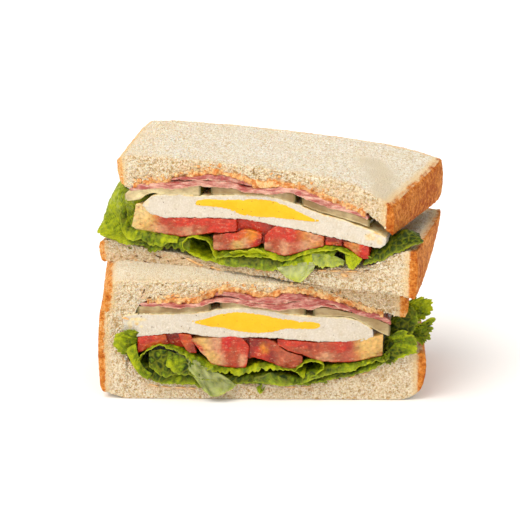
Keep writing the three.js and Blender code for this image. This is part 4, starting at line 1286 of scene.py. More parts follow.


# A leaf's light sets its tone: partly its own green and partly painted shade, lower for leaves lying in
# shade under others and higher for lit ones.
UPPER_LEAVES = {
    "upper_leaf_left_long": dict(
        node="upper_lettuce_1", light=0.1, ruffle=0.7, jag=1.0,
        lines=[
            *rows(
                [-50, -48.4, -46.6, -42.5, -38.9, -35, -31, -27, -24],
                (-1.6, [58.5, 55.6, 54.4, 54.2, 52.1, 53.5, 54.5, 53.6, 54]),
            ),
            *rows(
                [-49.6, -48, -46, -42, -38, -34, -31, -27, -24],
                (0.2, [63, 60.6, 59.6, 59, 58.7, 58.5, 58.3, 58.2, 58.4]),
                (38, [63, 60.6, 59.6, 59, 58.7, 58.4, 58.2, 58, 58.2]),
            ),
        ],
    ),
    "upper_leaf_left": dict(
        light=0.45, ruffle=0.6, jag=0.35, mottle=1.2,
        lines=[
            *rows(
                [-51, -50.4, -48.6, -45.6, -43, -41, -38.6, -36.6, -34.7, -32, -28.5],
                (-2.6, [66, 60.5, 57.4, 56.2, 57, 56.4, 55, 55.4, 55, 56.6, 57.4]),
            ),
            *rows(
                [-49.4, -49.2, -48, -45.6, -43, -41, -38.6, -36.6, -34.7, -32, -28.5],
                (-0.6, [69, 64.5, 61, 60, 59.7, 59.5, 59.2, 59, 58.9, 58.7, 58.6]),
            ),
            *rows(
                [-48.9, -48.8, -47.4, -45.4, -43, -41, -38.6, -36.6, -34.7, -32, -28.5],
                (14, [70.3, 65, 61.4, 60.2, 59.8, 59.5, 59.2, 59, 58.9, 58.7, 58.6]),
            ),
        ],
    ),
    "upper_leaf_behind": dict(
        light=-0.05, ruffle=0.4, jag=0.4, mottle=0.6,
        lines=[
            *rows([-50, -48.4, -46.4, -43, -38], (3.4, [60, 66, 71, 74, 76.4])),
            *rows([-44, -42.6, -40.6, -38, -34], (8, [59, 64, 68, 71, 73.4])),
        ],
    ),
    "upper_leaf_curl": dict(
        light=0.8, ruffle=0.25, jag=0.25,
        lines=[
            *rows(
                [-13.2, -15.2, -17, -20.2, -22.6, -25, -26.8, -26.4, -24.4, -22.1, -18.2, -13.2],
                (-1.8, [52.4, 55.5, 58.4, 59.5, 59.9, 59, 57, 55, 53.7, 52.5, 51.4, 51.4]),
            ),
            *rows(
                [-13.6, -15.4, -17, -20, -22.4, -24.4, -25.8, -25.4, -23.8, -21.8, -18.2, -13.6],
                (8, [53, 55.8, 58, 59, 59.3, 58.5, 57, 55.4, 54.3, 53.4, 52.4, 52.2]),
            ),
            *rows(
                [-14.6, -15.8, -17, -19.6, -22, -23.6, -24.4, -24, -23, -21.4, -18.2, -14.6],
                (28, [54, 56, 57.4, 58.2, 58.4, 57.8, 56.8, 55.8, 55, 54.4, 53.8, 53.4]),
            ),
        ],
    ),
    "upper_leaf_middle": dict(
        node="upper_lettuce_2", light=0.7, ruffle=0.5, jag=0.5,
        lines=[
            *rows(
                [-14, -9.6, -4.3, 1.5, 7.3, 14.2, 19.3, 24.3, 28.3, 32.3, 35.7, 39.4],
                (-2.2, [51.8, 53.5, 54, 54.7, 54.3, 54.2, 56.7, 58.9, 59.9, 60, 58.6, 57.3]),
            ),
            *rows(
                [-14, -9.6, -4.3, 1.5, 7.3, 12.4, 19.3, 24.3, 28.3, 32.3, 35.7, 40],
                (2.5, [54, 55, 55.9, 56.8, 56.2, 55.4, 57.9, 59.5, 60.4, 60.5, 59.4, 57.2]),
                (38, [55, 55, 55.6, 56.4, 56, 55, 57, 58.6, 59.4, 59.6, 58.8, 57]),
            ),
        ],
    ),
    "upper_leaf_tip": dict(
        light=0.8, ruffle=0.3, jag=0.6,
        lines=[
            *rows([-8.5, -5.5, -2, 1, 4, 6], (-2.6, [55.4, 56.8, 56.9, 58, 57.3, 56])),
            *rows([-8, -5, -2, 1, 4, 6], (-1.2, [54.4, 55.2, 55.4, 55.8, 55.6, 55])),
        ],
    ),
    "upper_leaf_under": dict(
        node="upper_lettuce_3", light=0.25, pale=0.04, ruffle=0.4, jag=0.4,
        lines=[
            *rows(
                [-14, -11, -7.9, -2, 3.9, 8.4, 13, 17],
                (-1.8, [50.6, 50, 49.6, 50.2, 49.5, 49.8, 51.4, 53.6]),
            ),
            *rows(
                [-16, -11, -7.9, -2, 3.9, 8.4, 13, 18],
                (0.4, [52.4, 52.8, 53.3, 53.8, 54, 53.6, 53.6, 54.6]),
                (38, [52, 52.4, 52.6, 52.8, 52.8, 52.8, 53, 54]),
            ),
        ],
    ),
    "upper_leaf_fold": dict(
        light=0.7, ruffle=0.4, jag=0.6,
        lines=[
            [
                (11.5, -2.2, 51.8), (15.5, -2.5, 52.4), (19.3, -2.6, 52.8), (23, -2.6, 53.6),
                (26, -2.5, 54.3), (30.5, -2, 56.6),
            ],
            [
                (13, -1.2, 54), (17, -1, 55.2), (20.6, -0.8, 56.9), (24.3, -0.6, 58.5),
                (28.3, -0.4, 59.4), (31.5, -0.2, 59.2),
            ],
            *rows([13, 17, 20.6, 24.3, 28.3, 31.5], (10, [54, 55, 56.5, 58, 59, 58.8])),
        ],
    ),
    "upper_leaf_hanging": dict(
        light=0.4, pale=0.75, ruffle=0.3, jag=0.3,
        lines=[
            [
                (10.4, -2.4, 50.4), (13, -3.1, 48.6), (15.8, -3.3, 47.4), (17.8, -3.3, 46.8),
                (19.7, -3.2, 47.4), (21.6, -2.9, 49.6), (23.6, -2.6, 52),
            ],
            [
                (9.5, -1.4, 51.2), (12, -1.8, 52), (14, -2, 52.7), (16.5, -2.2, 53.4), (19, -2.3, 54.2),
                (21.8, -2.2, 54.6), (24.5, -2, 54.8),
            ],
        ],
    ),
    "upper_leaf_flap": dict(
        light=0.6, pale=0.3, ruffle=0.3, jag=0.9,
        lines=[
            [
                (23.6, -2.9, 54.4), (25.6, -3.2, 53.4), (27.7, -3.3, 52.9), (29.6, -3.2, 54),
                (31, -3.2, 53.1), (32.6, -3, 54), (34.8, -2.8, 54.6),
            ],
            *rows([22.4, 25.4, 28, 30, 32, 33.4, 35], (-1.4, [57.6, 57.8, 57.9, 57.7, 57.3, 56.8, 56.2])),
        ],
    ),
    "upper_leaf_bit": dict(
        light=0.95, ruffle=0.3, jag=0.7,
        lines=[
            [
                (35.8, -2.4, 55.2), (37, -2.8, 54), (38.4, -2.9, 53.5), (39.4, -2.7, 54.4),
                (40.4, -2.5, 55.8),
            ],
            *rows([34.8, 36.4, 38, 39.6, 41.4], (-1, [59.2, 58.9, 58.6, 58.1, 57.3])),
        ],
    ),
    "upper_leaf_right": dict(
        node="upper_lettuce_4", light=-0.22, ruffle=0.6, jag=1.0,
        lines=[
            [
                (42, -1.4, 54.6), (46, -1.4, 56.3), (49.7, -1.2, 58.2), (53.3, -1, 60.6),
                (57, -0.5, 62.4), (60, 1, 63.6), (62.4, 4, 63.8),
            ],
            [
                (42, 3, 58), (46, 3, 60.4), (49.7, 3, 62.2), (53.3, 3, 63.8), (57, 4, 64.6),
                (59.6, 5, 65), (61.8, 6, 64.4),
            ],
            [
                (42, 8, 61), (47, 6.5, 64), (50.7, 6, 64.4), (54.8, 6, 67), (57.8, 6, 66.4),
                (59.4, 6.2, 65.2), (61, 6.6, 64.4),
            ],
            [
                (42, 16, 60.6), (46, 15, 63), (50, 14, 64), (53.6, 13, 65.4), (56.4, 12, 65.2),
                (58.4, 11, 64.8), (60, 9, 64.4),
            ],
        ],
    ),
    "upper_leaf_end": dict(
        node="upper_lettuce_end", light=0.98, ruffle=0.3, jag=0.5, ribs=(30, 19), rib_light=-0.8,
        mottle=0.3, top_pale=0.25, fade=0.7,
        lines=[
            [
                (-45.4, -1.6, 54.4), (-48.8, -2.4, 54.4), (-52.3, -2.6, 55.3), (-54.7, -2.6, 56.2),
                (-58.4, -2, 57), (-60.6, -0.8, 57.6), (-61, 6, 58), (-60.5, 16, 58),
            ],
            [
                (-43.4, 2.4, 60.2), (-46.4, 0.8, 60.4), (-51, -2.2, 60.8), (-54.6, -2.2, 61.2),
                (-57.6, -1.4, 61.8), (-58.8, 1, 62), (-59.4, 8, 62), (-59.2, 18, 62),
            ],
            [
                (-42.4, 5, 66), (-45.4, 2.5, 66.3), (-51, -1.4, 66.6), (-54.2, -1.2, 67),
                (-56.4, -0.4, 67.4), (-57.2, 2, 67.4), (-58, 9, 67.4), (-58, 18, 67.4),
            ],
            [
                (-43, 3, 69.4), (-46.6, 1.2, 70.6), (-49.4, 0.2, 71.6), (-51.8, -0.2, 72.4),
                (-53.4, 0.4, 73.2), (-54.6, 3, 73.4), (-55.8, 9, 73.6), (-56.4, 18, 73.8),
            ],
            [
                (-41, 5.4, 71.6), (-45, 3.6, 73.4), (-48, 2, 74.8), (-49.8, 1.2, 75.8),
                (-50.8, 1.4, 76.4), (-52.2, 4, 76.4), (-53.8, 9, 76.2), (-55, 18, 76),
            ],
        ],
    ),
}

# Here too a leaf's light is partly painted shade.
LOWER_LEAVES = {
    "lower_leaf_top": dict(
        node="lower_lettuce_1", light=0.5, ruffle=0.7, jag=1.2,
        lines=[
            *rows([
                -45.6, -44, -41.3, -37.2, -33.4, -28.5, -24.1, -19.7, -13.6, -8, -3.8, 0.4, 6, 9.2, 11.9,
                16.1,
            ], (-2.6, [
                14.4, 18, 20.3, 21.6, 20.1, 17.6, 14.6, 11.8, 10.6, 10.6, 11.2, 12.4, 12.8, 12.4, 11.4,
                8.6,
            ])),
            *rows([
                -44.6, -43.4, -41, -37, -33, -28.5, -24.1, -19.7, -13.6, -8, -3.8, 0.4, 6, 9.2, 12, 16.4,
            ], (0.6, [
                14.8, 18, 20, 21, 20.6, 18.6, 16.4, 13.8, 12.2, 12.2, 13, 14, 13, 12.4, 12, 11,
            ])),
            *rows([
                -44, -43, -40.6, -37, -33, -28.5, -24.1, -19.7, -13.6, -8, -3.8, 0.4, 6, 9.2, 12, 16.4,
            ], (38, [
                15, 17, 18.6, 19.6, 19.4, 17.6, 15.6, 13.2, 12, 12, 12.4, 13, 12.6, 12, 11.8, 11.8,
            ])),
        ],
    ),
    "lower_leaf_curl": dict(
        light=0.5, ruffle=0.2, jag=0.2,
        lines=[
            *rows(
                [15.2, 18, 20.2, 22.3, 22.5, 20.4, 17.8, 15.4, 13.2, 11.6],
                (-2.2, [8.2, 9.4, 11, 12.8, 14.2, 15.7, 15.8, 15.2, 13.4, 11.8]),
            ),
            *rows(
                [15.4, 18, 20, 21.6, 21.6, 20, 17.8, 15.6, 13.6, 12],
                (6, [9.4, 10.2, 11.6, 13, 14, 15, 15.1, 14.6, 13.2, 12]),
            ),
            *rows(
                [15.6, 18, 19.6, 20.6, 20.6, 19.4, 17.8, 15.8, 14, 12.4],
                (26, [10.6, 11, 12, 13, 13.6, 14.2, 14.3, 14, 13, 12.2]),
            ),
        ],
    ),
    "lower_leaf_under": dict(
        node="lower_lettuce_2", light=0.1, ruffle=0.8, jag=0.6,
        lines=[
            *rows([
                -48, -45.4, -42.9, -40.3, -37.4, -31.5, -25.6, -22.7, -17, -9, -5, 4, 12, 16, 20.3, 26.9,
                33.4, 38.3, 43.2, 46.5,
            ], (-1.8, [
                15, 12, 10, 7.8, 6.6, 6.3, 6.1, 5, 6, 6.6, 6.9, 6.6, 6.2, 6.2, 6.9, 9.2, 10.3, 11.9, 14.1,
                16.5,
            ])),
            *rows([
                -47, -44.6, -41, -38, -35, -31.5, -26, -22, -17, -9, -5, 4, 10, 14, 20, 27, 33.4, 38.3,
                43.6, 46.8,
            ], (0.4, [
                17, 14.6, 12.6, 12, 11.6, 11, 10.4, 9.8, 9.6, 9.6, 9.8, 10.4, 9.6, 8.8, 9.6, 11.6, 12.4,
                14.4, 16, 18.4,
            ]), (38, [
                16, 13.6, 11.4, 10.4, 9.8, 9.4, 9, 8.8, 8.8, 9, 9.2, 9.4, 9, 8.8, 9.4, 11, 12, 14, 15.8,
                18,
            ])),
        ],
    ),
    "lower_leaf_band": dict(
        light=0.32, ruffle=0.5, jag=0.5,
        lines=[
            *rows(
                [13.8, 17, 20.3, 23.6, 28.5, 33.4, 36.6, 39.9, 44.8],
                (-2.6, [7, 8, 9.4, 10.2, 11.8, 12.6, 14.2, 15.4, 16.6]),
            ),
            *rows(
                [14, 17, 20.3, 23.6, 28.5, 33.4, 36.6, 39.9, 44.6],
                (0.2, [10.4, 11, 12, 12.8, 13.6, 14.4, 15.2, 16, 17.2]),
                (36, [10.6, 11, 12, 12.8, 13.4, 14.2, 15, 15.8, 17]),
            ),
        ],
    ),
    "lower_leaf_stem": dict(
        light=0.62, ruffle=0.2, jag=0.2,
        lines=[
            [
                (-50.2, -1.4, 20), (-48.8, -1.8, 16.4), (-47.2, -2, 13.4), (-44.8, -2.2, 10),
                (-42, -2.4, 8.4),
            ],
            [
                (-46.4, -1, 22), (-45.6, -1.4, 18.2), (-44.8, -1.8, 15.2), (-43, -2, 12.5),
                (-40.4, -2.2, 10.8),
            ],
        ],
    ),
    "lower_leaf_inner": dict(
        light=0.05, ruffle=0.5, jag=0.4,
        lines=[
            *rows([-41.6, -39.1, -36.2, -33.8, -31.5, -28], (-2.6, [13.6, 11.4, 9.4, 9.8, 10.5, 11])),
            *rows([-41.6, -39.4, -36.6, -33.4, -30.6, -27], (-1, [19, 19.6, 19.8, 19, 17.6, 16])),
        ],
    ),
    "lower_leaf_fold": dict(
        light=0.2, ruffle=0.4, jag=0.5,
        lines=[
            *rows([-35.4, -32.6, -30, -26.2, -22, -18.5], (-3.1, [14.2, 11.7, 10.5, 10.3, 8.6, 8.4])),
            *rows([-34.4, -31.6, -29, -25.4, -21.4, -18], (-1.8, [19.6, 18.4, 17, 14.8, 12.4, 11.2])),
        ],
    ),
    "lower_leaf_frill": dict(
        light=0.5, ruffle=1.0, jag=1.4,
        lines=[
            [
                (-47.5, -1, 28), (-50.6, -1.6, 27.4), (-53, -2, 26.4), (-54.8, -2.2, 24.2),
                (-54.4, -2, 21), (-52.5, -1.8, 18.6), (-49.6, -1.5, 17),
            ],
            [
                (-46, -0.6, 26.6), (-47.4, -0.9, 26), (-49, -1.2, 25), (-50, -1.3, 23.2), (-50, -1.3, 21),
                (-49.4, -1.2, 19), (-48.2, -1, 17),
            ],
            *rows(
                [-44.6, -45, -45.4, -45.8, -46.2, -46.4, -46.4],
                (1, [25.4, 24.6, 23.4, 22, 20.4, 18.6, 16.8]),
            ),
        ],
    ),
    "lower_leaf_hanging": dict(
        light=0.25, pale=0.5, ruffle=0.35, jag=0.3, ribs=(3, 0.4),
        lines=[
            [
                (-23.5, -3, 7.5), (-21, -3.4, 4.2), (-17.6, -3.6, 2.3), (-13.9, -3.4, 3.6),
                (-9.4, -2.6, 6.4),
            ],
            [(-28, -2.4, 13.5), (-25.5, -2.6, 13), (-22.5, -2.6, 12), (-19, -2.4, 10.8), (-14, -2.2, 10)],
            *rows([-32, -29, -26, -22.5, -19.8], (-0.5, [18.6, 17.6, 16.2, 14.2, 12.4])),
        ],
    ),
    "lower_leaf_tent": dict(
        light=0.2, pale=0.05, ruffle=0.3, jag=0.3,
        lines=[
            *rows([-3.6, -0.2, 3.2, 8.3, 11.4], (-2.6, [7.8, 7.4, 6.8, 6.2, 7])),
            *rows([-3, 0.4, 3.2, 6.4, 9.6], (-1.6, [9.3, 10.3, 11.2, 9.6, 8.4])),
        ],
    ),
    "lower_leaf_scrap": dict(
        light=0.5, ruffle=0.4, jag=0.5,
        lines=[
            *rows([-2, -1.6, -0.9, -0.2], (-1.7, [5.4, 3.6, 2.9, 3.6])),
            *rows([-1.2, -0.6, 0, 0.8], (-0.6, [5.8, 4.6, 4.2, 5.4])),
        ],
    ),
    "lower_leaf_right": dict(
        node="lower_lettuce_3", light=-0.05, ruffle=0.8, jag=0.6,
        lines=[
            [
                (46.5, 3, 16), (49.7, 2, 19.5), (52.6, 2, 21.4), (54.4, 2.4, 24), (56.2, 3, 27.4),
                (57, 3.6, 30), (56.4, 4.2, 33), (54.4, 4.8, 35.4),
            ],
            [
                (45.2, 3, 18.6), (46.8, 3, 21.4), (48.4, 3, 23.8), (49.6, 3.4, 26.4), (50.6, 4, 28.6),
                (51, 4.4, 31), (51.2, 5, 33), (51, 5.6, 34.8),
            ],
            [
                (44.2, 5, 17.1), (44.8, 5, 20), (45.2, 5, 23), (45.8, 5.2, 26), (46.4, 5.6, 28.8),
                (47.6, 6, 31), (48.4, 6.4, 33), (49, 7, 34.4),
            ],
        ],
    ),
    "lower_leaf_right_arm": dict(
        light=0.55, ruffle=0.7, jag=1.9,
        lines=[
            *rows(
                [51.6, 53.4, 56.7, 58.9, 60.8, 62.4, 62.4, 60.4, 58, 55],
                (5, [36, 37.6, 38.9, 38.9, 38.4, 36.8, 33.4, 30.8, 29, 28]),
            ),
            *rows(
                [50, 51.8, 54, 55.8, 57.4, 58.4, 58.2, 57, 55.2, 53],
                (6, [33.4, 34.8, 35.8, 36, 35.6, 34.6, 33, 31.6, 30.6, 30]),
            ),
            *rows(
                [48.4, 49.8, 51.2, 52.4, 53.4, 54, 54, 53.4, 52.4, 51],
                (7, [30.4, 31.6, 32.6, 33, 33, 32.8, 32.2, 31.8, 31.4, 31]),
            ),
        ],
    ),
    "lower_leaf_right_lobe": dict(
        light=0.5, ruffle=0.8, jag=1.9,
        lines=[
            *rows(
                [58, 60.4, 62.2, 63.4, 62.6, 62.4, 61.8, 60.2, 57.6, 54.8],
                (4.4, [28.4, 28.8, 31.2, 30.4, 27.4, 25, 22.6, 20.6, 19.8, 21]),
            ),
            *rows(
                [55.6, 57.6, 59.2, 60, 59.8, 59.6, 59, 58, 56.6, 55],
                (5, [27.6, 27.6, 28, 27.4, 26.2, 25, 24, 23.2, 22.8, 23]),
            ),
            *rows(
                [52.6, 53.6, 54.6, 55.4, 55.8, 55.8, 55.4, 54.8, 54, 53],
                (5.6, [27.4, 27.2, 27, 26.6, 26.2, 25.6, 25.2, 24.8, 24.6, 24.6]),
            ),
        ],
    ),
    "lower_leaf_right_front": dict(
        node="lower_lettuce_4", light=0.4, ruffle=0.9, jag=1.7,
        lines=[
            [
                (44.6, -1, 14.2), (47, -1.2, 14), (50, -1.6, 16.4), (53.4, -1.8, 18.2),
                (56.8, -1.8, 19.2), (56.8, -1.6, 21.6), (55.6, -1.4, 24.8), (53.6, -1.2, 26.4),
                (51.4, -1, 28), (49.4, -0.6, 27.4),
            ],
            [
                (44.6, 0, 15.6), (46.6, -0.4, 16.6), (48.8, -0.8, 18.4), (51, -0.8, 20),
                (52.8, -0.8, 21.2), (53, -0.6, 22.6), (52, -0.4, 24), (50.6, -0.2, 25), (49, 0, 25.8),
                (47.6, 0.2, 25.6),
            ],
            [
                (44, 1.6, 16.8), (45, 1.4, 18), (46.2, 1.2, 19.4), (47.4, 1.2, 20.6), (48.2, 1.2, 21.6),
                (48.2, 1.4, 22.4), (47.6, 1.6, 23), (46.8, 1.8, 23.4), (46, 2, 23.8), (45.4, 2.2, 24),
            ],
        ],
    ),
}

LEAVES = {"upper": UPPER_LEAVES, "lower": LOWER_LEAVES}
LEAF_STEP = 0.45  # millimetres between points along a leaf's edge
LEAF_ROWS = 46
VEIN_CELL = 2.6


def leaf_points(leaf, thick, seed):
    """A leaf's slab, with its veins, light and edge at each point."""
    length = max(np.linalg.norm(np.diff(line, axis=0), axis=1).sum() for line in leaf["lines"])
    columns = int(np.clip(length / LEAF_STEP, 24, 320))
    mesh = slab_mesh(leaf["name"], columns, LEAF_ROWS, 1)
    u, v, w = coordinates(mesh).T
    lines = np.stack([even_line(line, columns + 1) for line in leaf["lines"]])
    back = np.r_[0, np.cumsum(np.linalg.norm(np.diff(lines, axis=0), axis=2).mean(1))]
    share = np.linspace(0, 1, LEAF_ROWS + 1) ** (1.0 if back[-1] < 15 else 1.9)
    sheet = smooth_through(back, lines)(share * back[-1])
    facing = np.cross(np.gradient(sheet, axis=1), np.gradient(sheet, axis=0))
    facing /= np.linalg.norm(facing, axis=2, keepdims=True) + 1e-9
    i, j = np.rint(u * columns).astype(int), np.rint(v * LEAF_ROWS).astype(int)
    on_leaf, out = sheet[j, i], facing[j, i]
    to_edge = share[j] * back[-1]
    to_end = np.minimum(u, 1 - u) * length
    flat = np.stack([u * length, to_edge, 0 * u], 1)
    edge = np.exp(-to_edge / 2.5)
    inward = sheet[np.minimum(j + 2, LEAF_ROWS), i] - sheet[np.maximum(j - 1, 0), i]
    inward /= np.linalg.norm(inward, axis=1, keepdims=True) + 1e-9
    on_edge = flat * (1, 0, 0)
    tooth = np.clip(grain(on_edge, 1.5, seed) + 0.8 * grain(on_edge, 0.65, seed + 1) + 0.2, 0, 2)
    on_leaf = on_leaf + inward * (leaf["jag"] * 1.3 * tooth * np.exp(-to_edge / 1.8))[:, None]
    waves = grain(flat * (1, 0.35, 0), 3.6, seed + 2) * edge * 1.8 + 0.5 * grain(flat, 4, seed + 3)
    on_leaf = on_leaf + out * (leaf["ruffle"] * waves)[:, None]
    vein, puff = np.zeros(len(u)), np.zeros(len(u))
    shift = Vector((seed * 3.7, seed * 9.1, 0.5))
    warp = 0.6 * np.stack([grain(flat, 2, seed + 4), grain(flat, 2, seed + 5), 0 * u], 1)
    for k, p in enumerate((flat + warp) / VEIN_CELL):
        distances, _ = noise.voronoi(Vector(p) + shift)
        gap = distances[1] - distances[0]
        vein[k], puff[k] = max(0.0, 1 - gap / 0.2), min(1.0, gap / 0.5)
    ribs = np.zeros(len(u))
    if "ribs" in leaf:
        count, slant = leaf["ribs"]
        phase = np.pi * (count * u + slant * v + 0.6 * grain(flat, 4, seed + 6))
        ribs = (1 - np.abs(np.sin(phase))) ** 2 * np.clip(0.7 + 0.8 * grain(flat, 6, seed + 10), 0.1, 1)
    lift = 0.3 * puff - 0.15 * vein + 0.35 * ribs + 0.12 * grain(flat, 1.1, seed + 11)
    thin = thick * np.clip(0.45 + 0.3 * np.minimum(to_edge, to_end), 0, 1)
    points = on_leaf + out * (lift * np.minimum(1, to_end) + (w - 0.5) * thin)[:, None]
    reshape(mesh, points)
    face_out(mesh)
    mottle, rib_light = leaf.get("mottle", 1.0), leaf.get("rib_light", 0.35)
    light = 0.65 * grain(flat, 5, seed + 7) + 0.45 * grain(flat * (1, 0.3, 0), 1.5, seed + 8)
    # Painted light: the tone slopes along the leaf, lighter at one end and darker at the other.
    light += leaf.get("fade", 0) * (u - 0.5)
    # Tone from the leaf's setting and random mottle, with painted light and shade: lighter near the free
    # edge and on raised blisters; ribs paler, their own colour, when rib_light is above zero, and darker,
    # as painted shade, when it is below zero.
    light = leaf["light"] + 0.45 * edge + mottle * light + 0.35 * (puff - 0.5) + rib_light * ribs
    # Painted glints: whitish spots far from the free edge, on leaves that ask for them.
    glints = np.clip(0.3 + 1.5 * grain(flat, 1.2, seed + 12), 0, 1)
    glints *= leaf.get("top_pale", 0) * ease(0.6, 0.85, v)
    pale = leaf.get("pale", 0) * (0.75 + 0.7 * grain(flat, 2.4, seed + 9))
    value_layers(
        mesh, light=light - 0.2, pale=glints + pale + 0.3 * ribs * max(0, rib_light), vein=vein,
        edge=np.exp(-to_edge / 0.45),
    )
    return mesh, points


def make_leaf(half, name, leaf, sizes, material, seed):
    mesh, points = leaf_points(dict(leaf, name=name), sizes.leaf / MM, seed)
    return finish_piece(half, mesh, points, material, [leaf["node"]] if "node" in leaf else [])


def leaf_material(colours):
    t = Tree("lettuce leaf")
    soft, fine = t.noise(480, 4, 0.65), t.noise(1500, 3, 0.6)
    # The light layer holds the leaf's tone with painted light and shade in it.
    tone = t.plus(t.layer("light"), t.range(soft, 0.3, 0.7, -0.3, 0.3))
    tone = t.plus(tone, t.range(fine, 0.3, 0.7, -0.12, 0.12))
    colour = t.blend(t.range(tone, 0.0, 0.5), colours.leaf_dark, colours.leaf_middle)
    colour = t.blend(t.range(tone, 0.45, 1.0), colour, colours.leaf_light)
    colour = t.blend(t.times(t.layer("vein"), 0.35), colour, tint("b4b420"))
    # The pale layer holds whitish leaf and ribs, and painted glints.
    colour = t.blend(t.layer("pale"), colour, colours.leaf_pale)
    # Painted highlight along the leaves' free edges.
    colour = t.blend(t.times(t.layer("edge"), 0.4), colour, tint("bcc63a"))
    return t.finish(
        colour, t.range(soft, 0.3, 0.7, 0.28, 0.46), t.plus(soft, fine), 0.00035,
        soft=(0.3, (0.8, 1.0, 0.05), 0.001), gloss=0.14,
    )


# ---- Small bits ----
# Each is x, z, its half widths along and up, its turn and how far it stands out of the cut face.

BITS = {
    "upper": {
        "browned": [
            (-41.9, 47.9, 1.1, 0.22, 0.5, 0.1), (-41.2, 47.5, 0.7, 0.16, -0.8, 0.2),
            (-36.8, 50.4, 1.3, 0.2, 0.3, 0.1), (-36, 49.9, 0.7, 0.15, -0.6, 0.1),
            (-27, 50.7, 1.2, 0.18, -0.2, 0.1), (-45.5, 49.8, 0.5, 0.2, 0.2, 0.1),
            (-33, 49, 0.5, 0.18, 0.9, 0.1), (24.4, 51.1, 1.6, 0.16, -0.1, 0.2),
            (42.6, 52.9, 1.3, 0.2, -0.3, 0.2),
        ],
        "dressing": [
            (-24.4, 50.4, 1.6, 0.5, 0.3, 0.2), (-22.4, 49.6, 1.8, 0.45, 0.35, 0.2),
            (-20.4, 48.9, 1, 0.4, 0.3, 0.2), (-15.6, 48.3, 1.2, 0.4, 0.1, 0.2),
            (-13.6, 47.8, 1.3, 0.35, 0.2, 0.2), (26, 51.3, 2, 0.35, -0.1, 0.2),
            (31, 51.7, 2.4, 0.4, -0.15, 0.2), (37, 52, 2.6, 0.35, -0.1, 0.2),
            (34.4, 50.4, 1.4, 0.7, 0.2, 0.15), (2, 49, 1.4, 0.35, 0.0, 0.15),
            (5.4, 48.8, 1, 0.3, 0.0, 0.15),
        ],
        "green": [
            (-48, 52.6, 0.8, 0.3, 0.3, 0.2), (39.6, 55.6, 0.9, 0.3, 0.9, 0.9),
            (44, 58.2, 0.8, 0.35, 0.5, 0.6),
        ],
    },
    "lower": {
        "browned": [
            (25.2, 41.8, 0.8, 0.16, 0.5, 0.1), (26.6, 40.9, 0.8, 0.16, 0.6, 0.1),
            (29.3, 39.3, 0.22, 0.9, 0.3, 0.1), (-43.1, 42, 0.3, 0.9, 0.2, 0.1),
            (-41.2, 39.4, 0.5, 0.4, 0.1, 0.1), (-37, 40.6, 0.7, 0.2, -0.4, 0.1),
            (41.4, 35.6, 0.5, 0.25, 0.6, 0.2), (36.6, 37, 0.6, 0.18, 0.5, 0.1),
            (28, 8.4, 0.5, 0.25, 0.2, 0.15), (30.6, 9.4, 0.35, 0.2, 0.5, 0.15),
            (24, 8.2, 0.3, 0.2, 0.1, 0.15), (6.4, 6.6, 0.5, 0.16, 0.0, 0.15),
        ],
        "dressing": [
            (-40, 5.4, 2, 0.35, 0.3, 0.15), (-35.6, 4.8, 2.2, 0.3, 0.1, 0.15),
            (-30.4, 4.6, 2.4, 0.35, 0.0, 0.15), (-26, 4.4, 1.8, 0.3, 0.05, 0.15),
            (10.4, 5, 2.4, 0.3, 0.0, 0.15), (16, 5.2, 2, 0.25, -0.05, 0.15),
            (33, 9.2, 1.4, 0.3, -0.3, 0.15), (37.6, 10.6, 1.4, 0.3, -0.3, 0.15),
            (-34.2, 39.8, 0.9, 0.6, 0.2, 0.15), (-31.1, 40.2, 0.9, 0.5, 0.1, 0.15),
            (-50, 31.4, 1.6, 0.4, 0.3, 0.15),
        ],
        "green": [
            (-0.6, 5.6, 0.5, 1.2, 0.1, 0.5), (-1.4, 6.6, 0.9, 0.45, 0.2, 0.5),
            (0.4, 6.9, 0.8, 0.4, -0.2, 0.5), (21.6, 7.6, 1.3, 0.7, 0.2, 0.5),
            (23.2, 7, 0.7, 0.5, -0.4, 0.4), (20, 7, 0.6, 0.4, 0.5, 0.4), (-18, 3.4, 0.5, 0.3, 0.2, 0.3),
            (36.6, 12.4, 0.8, 0.35, 0.6, 0.5), (30.8, 11, 0.6, 0.3, 0.9, 0.5),
        ],
    },
}
PEPPER_COUNT = 26  # specks on each egg
CRUMB_COUNT = 110  # loose crumbs on each cut face


def plain_material(name, light, dark, scale, rough):
    t = Tree(name)
    mottled = t.noise(scale, 3, 0.6)
    colour = t.blend(t.range(mottled, 0.35, 0.65), tint(light), tint(dark))
    return t.finish(colour, rough, mottled, 0.0002, gloss=0.3)


